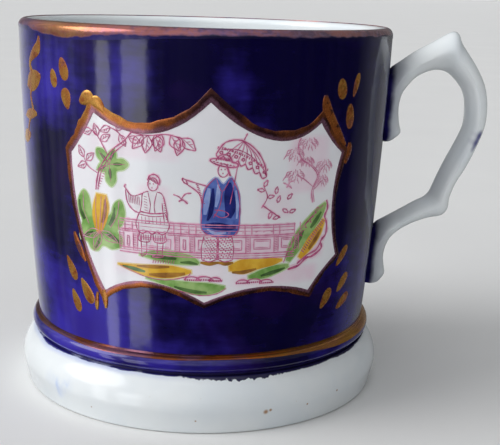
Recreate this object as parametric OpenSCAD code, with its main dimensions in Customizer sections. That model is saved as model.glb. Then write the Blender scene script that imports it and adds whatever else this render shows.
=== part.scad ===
// Moustache cup: a thrown mug on a spreading foot, with a moulded strap handle, a guard inside the
// lip, a cobalt ground with two printed panels, and copper lustre.
// Millimetres and degrees. The cup stands on Z = 0 with its axis on Z, its handle points along +X,
// and the drinker's side, with the guard, faces -Y.

/* [Cup] */
// Height from the table to the top of the rim
cup_h = 83; // [72:0.5:110]
// Outer diameter of the wall at the rim
rim_d = 84; // [76:0.5:110]
// Outer diameter of the wall where it leaves the bead
wall_low_d = 76.7; // [68:0.1:100]
// How far the wall bows out of a straight taper, half way up
wall_swell = 0.55; // [0:0.05:1.5]
// Thickness of the wall
wall_t = 3; // [2:0.1:5]
// Thickness of the floor
floor_t = 4; // [3:0.1:8]
// Radius of the hollow curve where the floor meets the wall
floor_fillet = 6; // [2:0.5:12]

/* [Foot and bead] */
// How far the foot's top stands out past the wall above it
foot_neck_w = 0.95; // [0.4:0.05:2]
// How far the foot's shoulder spreads past its top
foot_spread = 3.1; // [1.5:0.1:6]
// How far the band under the shoulder draws in towards the table
foot_draw_in = 1.1; // [0:0.1:2.5]
// Height of the foot
foot_h = 12; // [9:0.5:20]
// Height of the band under the foot's shoulder
foot_band_h = 5.4; // [3:0.1:7]
// Width of the ring that touches the table
foot_ring_w = 6; // [4:0.1:10]
// Width of the seat that the body stands on
foot_seat_w = 5.4; // [4:0.1:10]
// Chamfer on the foot's lower edge
foot_chamfer = 0.7; // [0.3:0.1:1.5]
// Height of the half-round bead above the foot
bead_h = 3.5; // [2:0.1:6]

/* [Handle] */
// How far the handle stands out from the wall
handle_reach = 25; // [18:0.5:40]
// Width of the handle across its roots
handle_w = 9.6; // [6:0.1:14]
// Height of the handle's lower tip above the bead
handle_low_gap = 6.4; // [3:0.1:12]
// Depth of the thumb spur's tip below the rim
handle_top_drop = 0.6; // [0:0.1:6]

/* [Guard] */
// Depth of the guard's top below the rim
guard_drop = 4.5; // [3:0.1:12]
// Thickness of the guard
guard_t = 2.6; // [2:0.1:4]
// How far the guard's edge reaches from the wall, at its middle
guard_reach = 27; // [20:0.5:34]
// Radius of each of the two lobes of the guard's edge
guard_lobe_r = 17; // [10:0.5:18]
// How far the lobes stand out past the middle of the edge
guard_lobe_rise = 8; // [3:0.5:10]
// Depth of the drinking slot, from the wall
sip_depth = 9; // [6:0.5:14]
// Radius of the drinking slot's inner edge
sip_r = 18; // [12:0.5:30]

/* [Joints and decoration] */
// Thickness of the slip that joins the clay pieces
slip_t = 0.5; // [0.3:0.1:1]
// Thickness of the cobalt ground and of the printed panels
glaze_t = 0.25; // [0.15:0.05:0.5]
// Thickness of the copper lustre
lustre_t = 0.2; // [0.1:0.05:0.4]
// Width of a panel, straight across
panel_w = 56.4; // [40:0.2:64]
// Height of a panel
panel_h = 41.4; // [30:0.2:48]
// Width of the lustre border around a panel
border_w = 2.2; // [1:0.1:3]
// Length of a lustre petal
petal_l = 4.6; // [3:0.1:6]
// Width of a lustre petal
petal_w = 2.4; // [1.5:0.1:3]
// How far round the wall the petals lie past a panel's widest point
petal_gap = 0.8; // [0.4:0.1:3]

/* [Hidden] */

$fn = 180;
wall_steps = 10;
arc_steps = 8;

rim_r = rim_d / 2;
wall_low_r = wall_low_d / 2;
body_z = foot_h + slip_t;
crease_z = body_z + bead_h;
floor_z = body_z + floor_t;
lip_r = wall_t / 2;
lip_z = cup_h - lustre_t - lip_r;
panel_z = (crease_z + lip_z) / 2;
handle_low_z = crease_z + handle_low_gap;
handle_h = cup_h - handle_top_drop - handle_low_z;
guard_z = cup_h - guard_drop - guard_t;
back_angle = 180;
sprig_angle = -90;

// Clay colours as fired
white_glaze = [0.93, 0.95, 0.96];
raw_slip = [0.88, 0.88, 0.86];
cobalt = [0.16, 0.12, 0.45];
copper = [0.66, 0.38, 0.14];

// Height and outer radius of the wall at each step, from the crease above the bead to the lip
wall_line = [
    for (i = [0 : wall_steps])
        let (u = i / wall_steps)
        [
            crease_z + (lip_z - crease_z) * u,
            wall_low_r + (rim_r - wall_low_r) * u + wall_swell * 4 * u * (1 - u)
        ]
];

function wall_r(z) = lookup(z, wall_line);

// The wall's own heights between two limits, with the limits themselves
function wall_stops(low, high) = concat(
    [low],
    [for (p = wall_line) if (p[0] > low && p[0] < high) p[0]],
    [high]
);

function backward(list) = [for (i = [len(list) - 1 : -1 : 0]) list[i]];

function arc(centre, r, from, to, steps = arc_steps) = [
    for (i = [0 : steps])
        let (a = from + (to - from) * i / steps)
        centre + r * [cos(a), sin(a)]
];

// A layer on the wall: it starts at one depth over the clay and ends at another
module wall_layer(under, over, low = crease_z, high = lip_z) {
    stops = wall_stops(low, high);
    rotate_extrude()
        polygon(concat(
            [for (z = stops) [wall_r(z) + over, z]],
            [for (z = backward(stops)) [wall_r(z) + under, z]]
        ));
}

// All that lies inside the wall's outer face, grown by a margin
module wall_core(margin) {
    stops = wall_stops(crease_z, cup_h);
    rotate_extrude()
        polygon(concat(
            [[0, crease_z]],
            [for (z = stops) [wall_r(z) + margin, z]],
            [[0, cup_h]]
        ));
}

// A flat shape stood upright and carried through the wall at an angle from the front
module through_wall(angle, z) {
    rotate([0, 0, angle])
        translate([0, 0, z])
            rotate([90, 0, 0])
                linear_extrude(height = rim_d)
                    children();
}

// Thrown body: floor, tapering wall and round lip
module body() {
    inner_low = floor_z + floor_fillet;
    inner_r = wall_r(inner_low) - wall_t;
    color(white_glaze)
        rotate_extrude()
            polygon(concat(
                [[0, body_z], [wall_low_r, body_z]],
                [for (p = wall_line) [p[1], p[0]]],
                arc([rim_r - lip_r, lip_z], lip_r, 0, 180),
                [for (z = backward(wall_stops(inner_low, lip_z))) [wall_r(z) - wall_t, z]],
                arc([inner_r - floor_fillet, inner_low], floor_fillet, 0, -90),
                [[0, floor_z]]
            ));
}

// Spreading foot: a band on the table, a round shoulder, and a hollow underneath
module foot() {
    foot_r = wall_low_r + foot_neck_w + foot_spread;
    base_r = foot_r - foot_draw_in;
    seat_r = wall_low_r - foot_seat_w;
    rise = foot_h - foot_band_h;
    shoulder_r = (foot_spread * foot_spread + rise * rise) / (2 * foot_spread);
    shoulder_turn = 2 * atan2(foot_spread, rise);
    color(white_glaze)
        rotate_extrude()
            polygon(concat(
                [[base_r - foot_ring_w, 0], [base_r - foot_chamfer, 0], [base_r, foot_chamfer]],
                arc([foot_r - shoulder_r, foot_band_h], shoulder_r, 0, shoulder_turn),
                [[seat_r, foot_h]]
            ));
}

// Half-round bead laid over the joint between body and foot
module bead_moulding() {
    color(cobalt)
        rotate_extrude()
            polygon(arc([wall_low_r, body_z + bead_h / 2], bead_h / 2, -90, 90, 2 * arc_steps));
}

// Stations along the handle, from the upper root's tip over the arch to the lower root's tip.
// Each has the outer edge, then the inner edge, as shares of the reach from the wall and of the
// handle's height, and last its share of the handle's width.
handle_shares = [
    [-0.060, 0.580, 0.125, 0.575, 0.80],
    [-0.060, 0.603, 0.193, 0.603, 1.00],
    [-0.060, 0.640, 0.171, 0.640, 1.00],
    [-0.060, 0.700, 0.151, 0.700, 1.00],
    [-0.050, 0.780, 0.170, 0.753, 0.98],
    [0.026, 0.847, 0.223, 0.790, 0.96],
    [0.132, 0.882, 0.288, 0.820, 0.94],
    [0.269, 0.923, 0.371, 0.840, 0.93],
    [0.411, 0.957, 0.450, 0.850, 0.92],
    [0.537, 0.987, 0.514, 0.850, 0.92],
    [0.616, 1.000, 0.567, 0.843, 0.92],
    [0.666, 0.968, 0.620, 0.828, 0.92],
    [0.740, 0.928, 0.674, 0.807, 0.92],
    [0.844, 0.870, 0.728, 0.778, 0.92],
    [0.942, 0.798, 0.763, 0.743, 0.92],
    [0.989, 0.718, 0.780, 0.693, 0.92],
    [0.990, 0.637, 0.778, 0.637, 0.92],
    [0.942, 0.563, 0.725, 0.573, 0.90],
    [0.860, 0.473, 0.646, 0.497, 0.88],
    [0.778, 0.405, 0.583, 0.427, 0.86],
    [0.738, 0.345, 0.546, 0.380, 0.85],
    [0.736, 0.305, 0.520, 0.360, 0.85],
    [0.685, 0.275, 0.478, 0.345, 0.85],
    [0.551, 0.263, 0.397, 0.327, 0.85],
    [0.395, 0.238, 0.274, 0.295, 0.87],
    [0.272, 0.205, 0.135, 0.260, 0.90],
    [0.199, 0.165, 0.040, 0.233, 0.95],
    [0.173, 0.110, -0.060, 0.160, 0.98],
    [0.194, 0.060, -0.060, 0.080, 1.00],
    [0.208, 0.030, -0.060, 0.033, 1.00],
    [0.166, 0.000, -0.060, 0.005, 0.80]
];
handle_sides = 12;
handle_smoothing = 2;
// Between a lozenge and an ellipse: the power that draws the section in to a ridge
handle_ridge = 1.4;

// A smooth path through four neighbours, between the middle two
function between(a, b, c, d, t) =
    0.5 * (2 * b + (c - a) * t + (2 * a - 5 * b + 4 * c - d) * t * t
        + (3 * b - a - 3 * c + d) * t * t * t);

function station(i) = handle_shares[min(max(i, 0), len(handle_shares) - 1)];

handle_path = [
    for (i = [0 : len(handle_shares) - 2], k = [0 : handle_smoothing - 1])
        between(station(i - 1), station(i), station(i + 1), station(i + 2), k / handle_smoothing),
    station(len(handle_shares) - 1)
];

function handle_point(x_share, z_share) =
    let (z = handle_low_z + z_share * handle_h)
    [wall_r(z) + x_share * handle_reach, 0, z];

function eased(v) = sign(v) * pow(abs(v), handle_ridge);

function handle_ring(s) =
    let (
        outer = handle_point(s[0], s[1]),
        inner = handle_point(s[2], s[3]),
        middle = (outer + inner) / 2,
        half_depth = (outer - inner) / 2,
        half_width = [0, s[4] * handle_w / 2, 0]
    )
    [
        for (k = [0 : handle_sides - 1])
            let (a = 360 * k / handle_sides)
            middle + half_depth * eased(cos(a)) + half_width * eased(sin(a))
    ];

// The whole strap, with roots that run into the wall
module handle_strap() {
    rings = [for (s = handle_path) handle_ring(s)];
    n = handle_sides;
    last = (len(rings) - 1) * n;
    polyhedron(
        points = [for (ring = rings) each ring],
        faces = concat(
            [[for (k = [0 : n - 1]) k]],
            [
                for (i = [0 : len(rings) - 2], k = [0 : n - 1])
                    let (a = i * n + k, b = i * n + (k + 1) % n)
                    each [[a, a + n, b], [b, a + n, b + n]]
            ],
            [[for (k = [n - 1 : -1 : 0]) last + k]]
        )
    );
}

// Moulded handle, trimmed to the slip on the wall
module handle() {
    color(white_glaze)
        difference() {
            handle_strap();
            wall_core(slip_t);
        }
}

// Slip under one root of the handle
module handle_slip(low, high) {
    color(raw_slip)
        intersection() {
            handle_strap();
            wall_layer(0, slip_t, low, high);
        }
}

// The two roots meet the wall on either side of the handle's middle
handle_mid_z = handle_low_z + handle_h / 2;

module upper_handle_slip() {
    handle_slip(handle_mid_z, lip_z);
}

module lower_handle_slip() {
    handle_slip(crease_z, handle_mid_z);
}

// Plan of the guard: a band across the drinker's side with two lobes, and a half-moon slot at the wall
module guard_plan() {
    wall_y = wall_r(guard_z) - wall_t;
    edge_y = guard_reach - wall_y;
    difference() {
        union() {
            translate([-rim_r, -rim_r])
                square([rim_d, rim_r + edge_y]);
            for (side = [-1, 1])
                translate([side * guard_lobe_r, edge_y + guard_lobe_rise - guard_lobe_r])
                    circle(guard_lobe_r);
        }
        translate([0, sip_depth - wall_y - sip_r])
            circle(sip_r);
    }
}

// The guard's plan, carried up to its thickness
module guard_plate() {
    translate([0, 0, guard_z])
        linear_extrude(height = guard_t)
            guard_plan();
}

// Guard shelf that keeps the moustache dry
module moustache_guard() {
    color(white_glaze)
        intersection() {
            guard_plate();
            wall_core(-wall_t - slip_t);
        }
}

// Slip between the guard and the inner wall
module guard_slip() {
    color(raw_slip)
        intersection() {
            guard_plate();
            wall_layer(-wall_t - slip_t, -wall_t);
        }
}

// Slip between the foot's seat and the body
module foot_slip() {
    color(raw_slip)
        translate([0, 0, foot_h])
            rotate_extrude()
                translate([wall_low_r - foot_seat_w, 0])
                    square([foot_seat_w, slip_t]);
}

// Outline of a panel: each row is a cusp, then the point that draws the edge to the next cusp,
// as shares of half the panel's width and half its height
panel_shares = [
    [0.035, 1.000, 0.520, 0.380],
    [0.826, 0.790, 0.894, 0.590],
    [1.000, 0.464, 0.887, -0.080],
    [1.000, -0.613, 0.883, -0.744],
    [0.794, -0.947, 0.433, -0.725],
    [0.018, -1.000, -0.420, -0.640],
    [-0.709, -0.971, -0.982, -0.310],
    [-0.957, 0.415, -0.858, 0.600],
    [-0.784, 0.845, -0.369, 0.440]
];
panel_steps = 6;

function in_panel(x_share, z_share) = [x_share * panel_w / 2, z_share * panel_h / 2];

panel_outline = [
    for (i = [0 : len(panel_shares) - 1], k = [0 : panel_steps - 1])
        let (
            here = panel_shares[i],
            next = panel_shares[(i + 1) % len(panel_shares)],
            t = k / panel_steps
        )
        in_panel(here[0], here[1]) * (1 - t) * (1 - t)
            + in_panel(here[2], here[3]) * 2 * t * (1 - t)
            + in_panel(next[0], next[1]) * t * t
];

module panel_shape() {
    polygon(panel_outline);
}

module bordered_panel_shape() {
    offset(delta = border_w)
        panel_shape();
}

// White reserve that takes the printed garden
module print_panel(angle) {
    color(white_glaze)
        intersection() {
            wall_layer(0, glaze_t);
            through_wall(angle, panel_z)
                panel_shape();
        }
}

module front_print_panel() {
    print_panel(0);
}

module back_print_panel() {
    print_panel(back_angle);
}

// Lustre line between a panel and the cobalt
module panel_border(angle) {
    color(copper)
        intersection() {
            wall_layer(0, glaze_t + lustre_t);
            through_wall(angle, panel_z)
                difference() {
                    bordered_panel_shape();
                    panel_shape();
                }
        }
}

module front_panel_border() {
    panel_border(0);
}

module back_panel_border() {
    panel_border(back_angle);
}

// Where each root of the handle covers the wall, as shares of the handle's height
upper_root_shares = [0.565, 0.855];
lower_root_shares = [-0.010, 0.240];

// Patch of wall left bare for a root of the handle
module handle_root_cut(low_share, high_share) {
    translate([0, -handle_w / 2, handle_low_z + low_share * handle_h])
        cube([rim_d, handle_w, (high_share - low_share) * handle_h]);
}

// Cobalt ground around both panels and the handle's roots
module cobalt_ground() {
    color(cobalt)
        difference() {
            wall_layer(0, glaze_t);
            through_wall(0, panel_z)
                bordered_panel_shape();
            through_wall(back_angle, panel_z)
                bordered_panel_shape();
            for (ends = [upper_root_shares, lower_root_shares])
                handle_root_cut(ends[0], ends[1]);
        }
}

// Lustre over the lip, outside and inside
module rim_lustre() {
    centre = [rim_r - lip_r, lip_z];
    color(copper)
        rotate_extrude()
            polygon(concat(
                arc(centre, lip_r + lustre_t, 0, 180),
                arc(centre, lip_r, 180, 0)
            ));
}

// Where the lustre line on top of the bead starts and ends, round the bead's section
bead_line_from = 30;
bead_line_to = 72;

// Lustre line along the top of the bead
module bead_lustre() {
    centre = [wall_low_r, body_z + bead_h / 2];
    color(copper)
        rotate_extrude()
            polygon(concat(
                arc(centre, bead_h / 2 + lustre_t, bead_line_from, bead_line_to),
                arc(centre, bead_h / 2, bead_line_to, bead_line_from)
            ));
}

// A petal between two arcs, upright, grown or shrunk by a share
module petal(tilt, size_share) {
    long = petal_l * size_share;
    wide = petal_w * size_share;
    r = (long * long + wide * wide) / (4 * wide);
    rotate([0, 0, tilt])
        intersection_for (side = [-1, 1])
            translate([side * (r - wide / 2), 0])
                circle(r);
}

// Angle round the wall, at a height, from a panel's middle to its petals
function petal_angle(z) =
    asin(panel_w / 2 / wall_r(z)) + petal_gap / wall_r(z) * 180 / PI;

function petal_z(height_share) = panel_z + height_share * panel_h / 2;

// Petals around a panel's corners. Each row gives the angle from the panel's middle as a share of the
// petals' angle, the height as a share of half the panel's height, the tilt, and the size as a share.
left_petal_shares = [
    [-0.975, 1.222, 12, 1.00],
    [-1.090, 1.126, 14, 0.85],
    [-0.965, 0.932, 16, 1.00],
    [-0.952, -0.800, 24, 1.10],
    [-0.812, -1.030, 22, 0.95],
    [-0.911, -1.145, 14, 0.95]
];
right_petal_shares = [
    [0.948, 1.106, -10, 1.00],
    [1.088, 1.126, -12, 0.90],
    [1.040, 0.812, -4, 1.00],
    [1.122, -0.600, -16, 1.00],
    [1.075, -0.960, -12, 1.00],
    [0.904, -1.100, -8, 0.85],
    [1.130, -1.150, -14, 0.85]
];
// Half of the sprig opposite the handle. Its angles are shares of the turn that the petals leave free.
sprig_shares = [
    [0.755, 1.430, -30, 0.85],
    [0.660, 1.060, 14, 1.20],
    [0.593, 0.720, -24, 0.90],
    [0.517, 0.460, 0, 0.75],
    [0.156, 1.240, -22, 1.00],
    [0.127, 0.800, -16, 1.10],
    [0.156, 0.300, -20, 1.00]
];

// Angle, height, tilt and size of each petal around the panel at an angle
function panel_spots(rows, angle) = [
    for (row = rows)
        let (z = petal_z(row[1]))
        [angle + row[0] * petal_angle(z), z, row[2], row[3]]
];

// The same for the sprig, on one side of its middle or the other
function sprig_spots(side) = [
    for (row = sprig_shares)
        let (z = petal_z(row[1]))
        [sprig_angle + side * row[0] * (abs(sprig_angle) - petal_angle(z)), z, side * row[2], row[3]]
];

module petals(spots) {
    color(copper)
        intersection() {
            wall_layer(glaze_t, glaze_t + lustre_t);
            for (spot = spots)
                through_wall(spot[0], spot[1])
                    petal(spot[2], spot[3]);
        }
}

module front_left_petals() {
    petals(panel_spots(left_petal_shares, 0));
}

module front_right_petals() {
    petals(panel_spots(right_petal_shares, 0));
}

module back_left_petals() {
    petals(panel_spots(left_petal_shares, back_angle));
}

module back_right_petals() {
    petals(panel_spots(right_petal_shares, back_angle));
}

module side_sprig() {
    petals(concat(sprig_spots(-1), sprig_spots(1)));
}

body();
foot();
bead_moulding();
handle();
moustache_guard();
foot_slip();
upper_handle_slip();
lower_handle_slip();
guard_slip();
cobalt_ground();
rim_lustre();
bead_lustre();
front_print_panel();
back_print_panel();
front_panel_border();
back_panel_border();
front_left_petals();
front_right_petals();
back_left_petals();
back_right_petals();
side_sprig();
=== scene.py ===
# %% [markdown]
# # A moustache cup, dressed
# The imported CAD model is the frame. It says how big the cup is and where each piece sits. This lesson
# turns, draws and paints the visible pieces around it: white earthenware, a cobalt ground, copper
# lustre, and a printed garden in a white reserve on either side.

# %% Frame
import math
from functools import partial, partialmethod
import bmesh
import bpy
from mathutils import Matrix, Vector


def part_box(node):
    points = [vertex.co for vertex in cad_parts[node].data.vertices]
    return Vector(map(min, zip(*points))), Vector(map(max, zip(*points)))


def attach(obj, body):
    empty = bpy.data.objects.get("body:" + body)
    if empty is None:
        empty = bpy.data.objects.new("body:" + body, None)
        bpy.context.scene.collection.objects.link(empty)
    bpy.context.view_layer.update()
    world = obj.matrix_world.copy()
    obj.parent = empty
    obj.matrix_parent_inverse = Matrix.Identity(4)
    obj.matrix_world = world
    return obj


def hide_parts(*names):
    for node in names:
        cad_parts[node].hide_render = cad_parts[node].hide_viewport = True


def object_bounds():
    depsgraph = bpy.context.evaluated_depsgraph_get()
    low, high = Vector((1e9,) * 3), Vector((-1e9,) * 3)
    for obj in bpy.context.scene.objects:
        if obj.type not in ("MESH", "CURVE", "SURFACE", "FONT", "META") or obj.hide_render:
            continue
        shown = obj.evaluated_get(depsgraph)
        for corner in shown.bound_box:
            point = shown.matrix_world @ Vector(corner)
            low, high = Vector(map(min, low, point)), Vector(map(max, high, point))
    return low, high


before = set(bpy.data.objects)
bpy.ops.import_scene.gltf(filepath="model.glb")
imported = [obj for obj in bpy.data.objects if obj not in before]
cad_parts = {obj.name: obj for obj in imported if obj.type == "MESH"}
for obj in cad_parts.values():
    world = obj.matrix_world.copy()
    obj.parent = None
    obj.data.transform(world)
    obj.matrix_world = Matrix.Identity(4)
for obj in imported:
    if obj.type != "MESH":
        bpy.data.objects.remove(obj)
cad_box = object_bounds()
print("CAD box", [list(corner) for corner in cad_box])

# %% [markdown]
# ## Sizes
# Every length comes from the frame where the frame knows it. The wall is a taper with a slight belly,
# so its radius at a height is a straight line plus a small hump. All decoration follows that radius.

# %% Sizes from the frame
MM = 0.001
WALL_SWELL = 0.55 * MM
WALL_T = 3 * MM

ground_low, ground_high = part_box("cobalt_ground")
crease_z = ground_low[2]
lip_z = ground_high[2]
rim_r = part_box("body")[1][0]
wall_low_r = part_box("foot_slip")[1][0]
glaze_t = ground_high[1] - rim_r
panel_z = (crease_z + lip_z) / 2
cup_top = cad_box[1][2]


def wall_r(z):
    """Outer radius of the clay wall at a height."""
    share = (z - crease_z) / (lip_z - crease_z)
    return wall_low_r + (rim_r - wall_low_r) * share + 4 * WALL_SWELL * share * (1 - share)


def about_axis(r, angle, z):
    """A point at a radius and a height, at an angle in radians from the front."""
    return (r * math.sin(angle), -r * math.cos(angle), z)


print("wall radius from", round(wall_low_r / MM, 2), "to", round(rim_r / MM, 2), "mm")

# %% [markdown]
# ## Camera
# The photograph was fitted with a pinhole camera: where it stood, how far it looked down, sideways and
# askew, and its focal length in pixels of a 500 pixel wide picture. Blender wants the same as a matrix
# whose columns are the camera's right, up and backward directions.

# %% Camera
CAMERA_PLACE = (0, -238.1 * MM, 90.2 * MM)
CAMERA_PITCH = math.radians(12.822)
CAMERA_YAW = math.radians(2.695)
CAMERA_ROLL = math.radians(1.803)
FOCAL_PX = 1019.77
PICTURE_W = 500


def photo_camera():
    lens = bpy.data.cameras.new("photo_camera")
    lens.sensor_fit = "HORIZONTAL"
    lens.lens = lens.sensor_width * FOCAL_PX / PICTURE_W
    lens.clip_start = 10 * MM
    camera = bpy.data.objects.new("photo_camera", lens)
    bpy.context.collection.objects.link(camera)
    forward = Vector((
        math.sin(CAMERA_YAW) * math.cos(CAMERA_PITCH),
        math.cos(CAMERA_YAW) * math.cos(CAMERA_PITCH),
        -math.sin(CAMERA_PITCH),
    ))
    level = Vector((math.cos(CAMERA_YAW), -math.sin(CAMERA_YAW), 0))
    upward = level.cross(forward)
    right = level * math.cos(CAMERA_ROLL) + upward * math.sin(CAMERA_ROLL)
    up = upward * math.cos(CAMERA_ROLL) - level * math.sin(CAMERA_ROLL)
    turn = Matrix((right, up, -forward)).transposed().to_4x4()
    camera.matrix_world = Matrix.Translation(CAMERA_PLACE) @ turn
    bpy.context.scene.camera = camera
    return lens.lens


print("lens", round(photo_camera(), 1), "mm")

# %% [markdown]
# ## Node maths
# A finish is a node tree. Wiring it by hand hides the idea, so a Signal wraps one socket and Python's
# operators add the Math nodes. One method of Finish adds any node: its settings go in first, then its
# inputs. Every later method is a short name for a node that comes back often.

# %% Signals and finishes


class Signal:
    """A value in a finish. Arithmetic on it adds Math nodes."""

    def __init__(self, finish, socket):
        self.finish = finish
        self.socket = socket

    def ahead(self, operation, other):
        """This value first, then the other."""
        return self.finish.maths(operation, self, other)

    def behind(self, operation, other):
        """The other value first, then this one."""
        return self.finish.maths(operation, other, self)

    __add__ = partialmethod(ahead, "ADD")
    __radd__ = partialmethod(behind, "ADD")
    __sub__ = partialmethod(ahead, "SUBTRACT")
    __rsub__ = partialmethod(behind, "SUBTRACT")
    __mul__ = partialmethod(ahead, "MULTIPLY")
    __truediv__ = partialmethod(ahead, "DIVIDE")
    __pow__ = partialmethod(ahead, "POWER")


class Finish:
    """A material, or a sky, that is built from nodes."""

    def __init__(self, name, shelf=bpy.data.materials, place="Object"):
        self.material = shelf.new(name)
        self.material.use_nodes = True
        self.tree = self.material.node_tree
        self.tree.nodes.clear()
        self.place = self.node("ShaderNodeTexCoord", output=place)

    def node(self, kind, settings=None, inputs=None, output=0):
        made = self.tree.nodes.new(kind)
        for key, value in (settings or {}).items():
            setattr(made, key, value)
        for key, value in (inputs or {}).items():
            if isinstance(value, Signal):
                self.tree.links.new(value.socket, made.inputs[key])
            else:
                made.inputs[key].default_value = value
        return Signal(self, made.outputs[output])

    def maths(self, operation, *values):
        return self.node("ShaderNodeMath", {"operation": operation}, dict(enumerate(values)))

    def vectors(self, operation, first, second):
        return self.node("ShaderNodeVectorMath", {"operation": operation}, {0: first, 1: second}, "Value")

    def axis(self, name):
        return self.node("ShaderNodeSeparateXYZ", None, {0: self.place}, name)

    def axes(self, names="XYZ"):
        return [self.axis(name) for name in names]

    def noise(self, grain, detail=3, stretch=(1, 1, 1), rough=0.5):
        """Cloudy values around a half, with features about one grain across."""
        where = self.node("ShaderNodeMapping", None, {"Vector": self.place, "Scale": stretch})
        inputs = {"Vector": where, "Scale": 1 / grain, "Detail": detail, "Roughness": rough}
        return self.node("ShaderNodeTexNoise", None, inputs, "Fac")

    def fade(self, value, start, end):
        """0 before start and 1 after end, with a soft step between. Start may lie above end."""
        inputs = {"Value": value, "From Min": start, "From Max": end}
        return self.node("ShaderNodeMapRange", {"interpolation_type": "SMOOTHSTEP"}, inputs)

    def mix(self, share, first, second):
        """The first colour where share is 0 and the second where it is 1."""
        return self.node("ShaderNodeMix", {"data_type": "RGBA"}, {0: share, 6: first, 7: second}, 2)

    def near(self, point, reach, soft=0.5):
        """1 at a point on the object, 0 beyond its reach."""
        return self.fade(self.vectors("DISTANCE", self.place, point), reach, reach * (1 - soft))

    def attribute(self, name):
        return self.node("ShaderNodeAttribute", {"attribute_name": name}, None, "Fac")

    def bump(self, height, depth):
        inputs = {"Height": height, "Distance": depth, "Strength": 1.0}
        return self.node("ShaderNodeBump", None, inputs, "Normal")

    def surface(self, **inputs):
        """Closes the tree with a Principled shader. Input names use _ for spaces."""
        named = {key.replace("_", " "): value for key, value in inputs.items()}
        return self.close("ShaderNodeOutputMaterial", self.node("ShaderNodeBsdfPrincipled", None, named))

    def close(self, kind, shader):
        end = self.tree.nodes.new(kind)
        self.tree.links.new(shader.socket, end.inputs["Surface"])
        return self.material


def paint(red, green, blue):
    """A colour in linear light, with full alpha."""
    return (red, green, blue, 1)


print("node helpers ready")

# %% [markdown]
# ## White glaze
# The clay is off-white earthenware under a glossy, faintly blue lead glaze. The glaze pools, so its
# tint drifts a little, and its surface ripples very slightly. The same recipe serves the body, the
# foot, the handle and the guard. Each may add its own marks before the tree is closed.

# %% White glaze
GLAZE_WHITE = paint(0.80, 0.835, 0.85)
GLAZE_BLUE = paint(0.70, 0.76, 0.81)
COBALT_DEEP = paint(0.0025, 0.001, 0.03)
COBALT_BRIGHT = paint(0.035, 0.022, 0.34)
BARE_CLAY = paint(0.62, 0.55, 0.45)
IRON_SPECK = paint(0.34, 0.17, 0.06)
GLAZE_ROUGH = 0.13


def white_glaze(finish):
    """Colour and normal that every white piece starts from."""
    pooling = finish.fade(finish.noise(14 * MM), 0.40, 0.72)
    colour = finish.mix(pooling * 0.55, GLAZE_WHITE, GLAZE_BLUE)
    pinholes = finish.fade(finish.noise(0.9 * MM, 1), 0.785, 0.83)
    colour = finish.mix(pinholes * 0.35, colour, BARE_CLAY)
    ripple = finish.noise(7 * MM, 2)
    return colour, finish.bump(ripple, 0.05 * MM)


def body_finish():
    finish = Finish("white_glaze_body")
    colour, normal = white_glaze(finish)
    return finish.surface(Base_Color=colour, Roughness=GLAZE_ROUGH, Normal=normal)


body_white = body_finish()
print("made", body_white.name)

# %% [markdown]
# ## A lathe
# A potter's wheel makes round pieces from one profile. Here one point is extruded along the profile
# and then spun about the cup's axis, with the doubled points merged and the normals turned outwards.

# %% Lathe
LATHE_STEPS = 256
CRISP_ANGLE = math.radians(38)


def deselect():
    if bpy.context.mode != "OBJECT":
        bpy.ops.object.mode_set(mode="OBJECT")
    bpy.ops.object.select_all(action="DESELECT")


def pick(*pieces):
    """Selects these pieces alone and makes the first one active."""
    deselect()
    for piece in pieces:
        piece.select_set(True)
    bpy.context.view_layer.objects.active = pieces[0]


def just_added(name):
    """The piece that an operator has just added, under its own name."""
    piece = bpy.context.object
    piece.name = piece.data.name = name
    return piece


def edit(piece):
    pick(piece)
    bpy.ops.object.mode_set(mode="EDIT")
    bpy.ops.mesh.select_all(action="SELECT")


def clean(piece):
    """Merges doubles, turns faces outwards and shades smooth, except over crisp edges."""
    edit(piece)
    bpy.ops.mesh.remove_doubles(threshold=MM / 1000)
    bpy.ops.mesh.normals_make_consistent(inside=False)
    bpy.ops.object.mode_set(mode="OBJECT")
    bpy.ops.object.shade_smooth_by_angle(angle=CRISP_ANGLE)


def turned(name, profile):
    """Spins a profile of (radius, height) points round the cup's axis."""
    deselect()
    bpy.ops.mesh.primitive_plane_add(size=MM)
    piece = just_added(name)
    edit(piece)
    bpy.ops.mesh.merge(type="CENTER")
    bpy.ops.transform.translate(value=(profile[0][0], 0, profile[0][1]))
    for (r, z), (next_r, next_z) in zip(profile, profile[1:]):
        bpy.ops.mesh.extrude_region_move(TRANSFORM_OT_translate={"value": (next_r - r, 0, next_z - z)})
    bpy.ops.mesh.select_all(action="SELECT")
    bpy.ops.mesh.spin(steps=LATHE_STEPS, angle=math.tau, center=(0, 0, 0), axis=(0, 0, 1))
    clean(piece)
    return piece


def arc(r, z, size, start, end, steps):
    """Points on a circle in the profile's plane, with angles in degrees."""
    turns = [math.radians(start + (end - start) * i / steps) for i in range(steps + 1)]
    return [(r + size * math.cos(a), z + size * math.sin(a)) for a in turns]


def spread(low, high, steps):
    """Even steps from low to high, both ends included."""
    return [low + (high - low) * i / steps for i in range(steps + 1)]


def settle(piece, material, slot, *nodes):
    """Paints a finished piece, ties it to the cup and hides the CAD nodes it stands for."""
    piece.data.materials.clear()
    piece.data.materials.append(material)
    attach(piece, "root")
    if nodes:
        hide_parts(*nodes)
    print(piece.name, "has", len(piece.data.polygons), "faces")


print("lathe ready")

# %% [markdown]
# ## Body
# The thrown body is one profile: floor, outer wall, round lip, inner wall and the hollow curve back to
# the floor. The CAD solid has flat facets, which a gloss would show, so the body is turned again with
# more steps and smooth shading.

# %% Body
FLOOR_T = 4 * MM
FLOOR_FILLET = 6 * MM
WALL_STEPS = 36

body_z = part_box("body")[0][2]
lip_r = WALL_T / 2
floor_z = body_z + FLOOR_T


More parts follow.
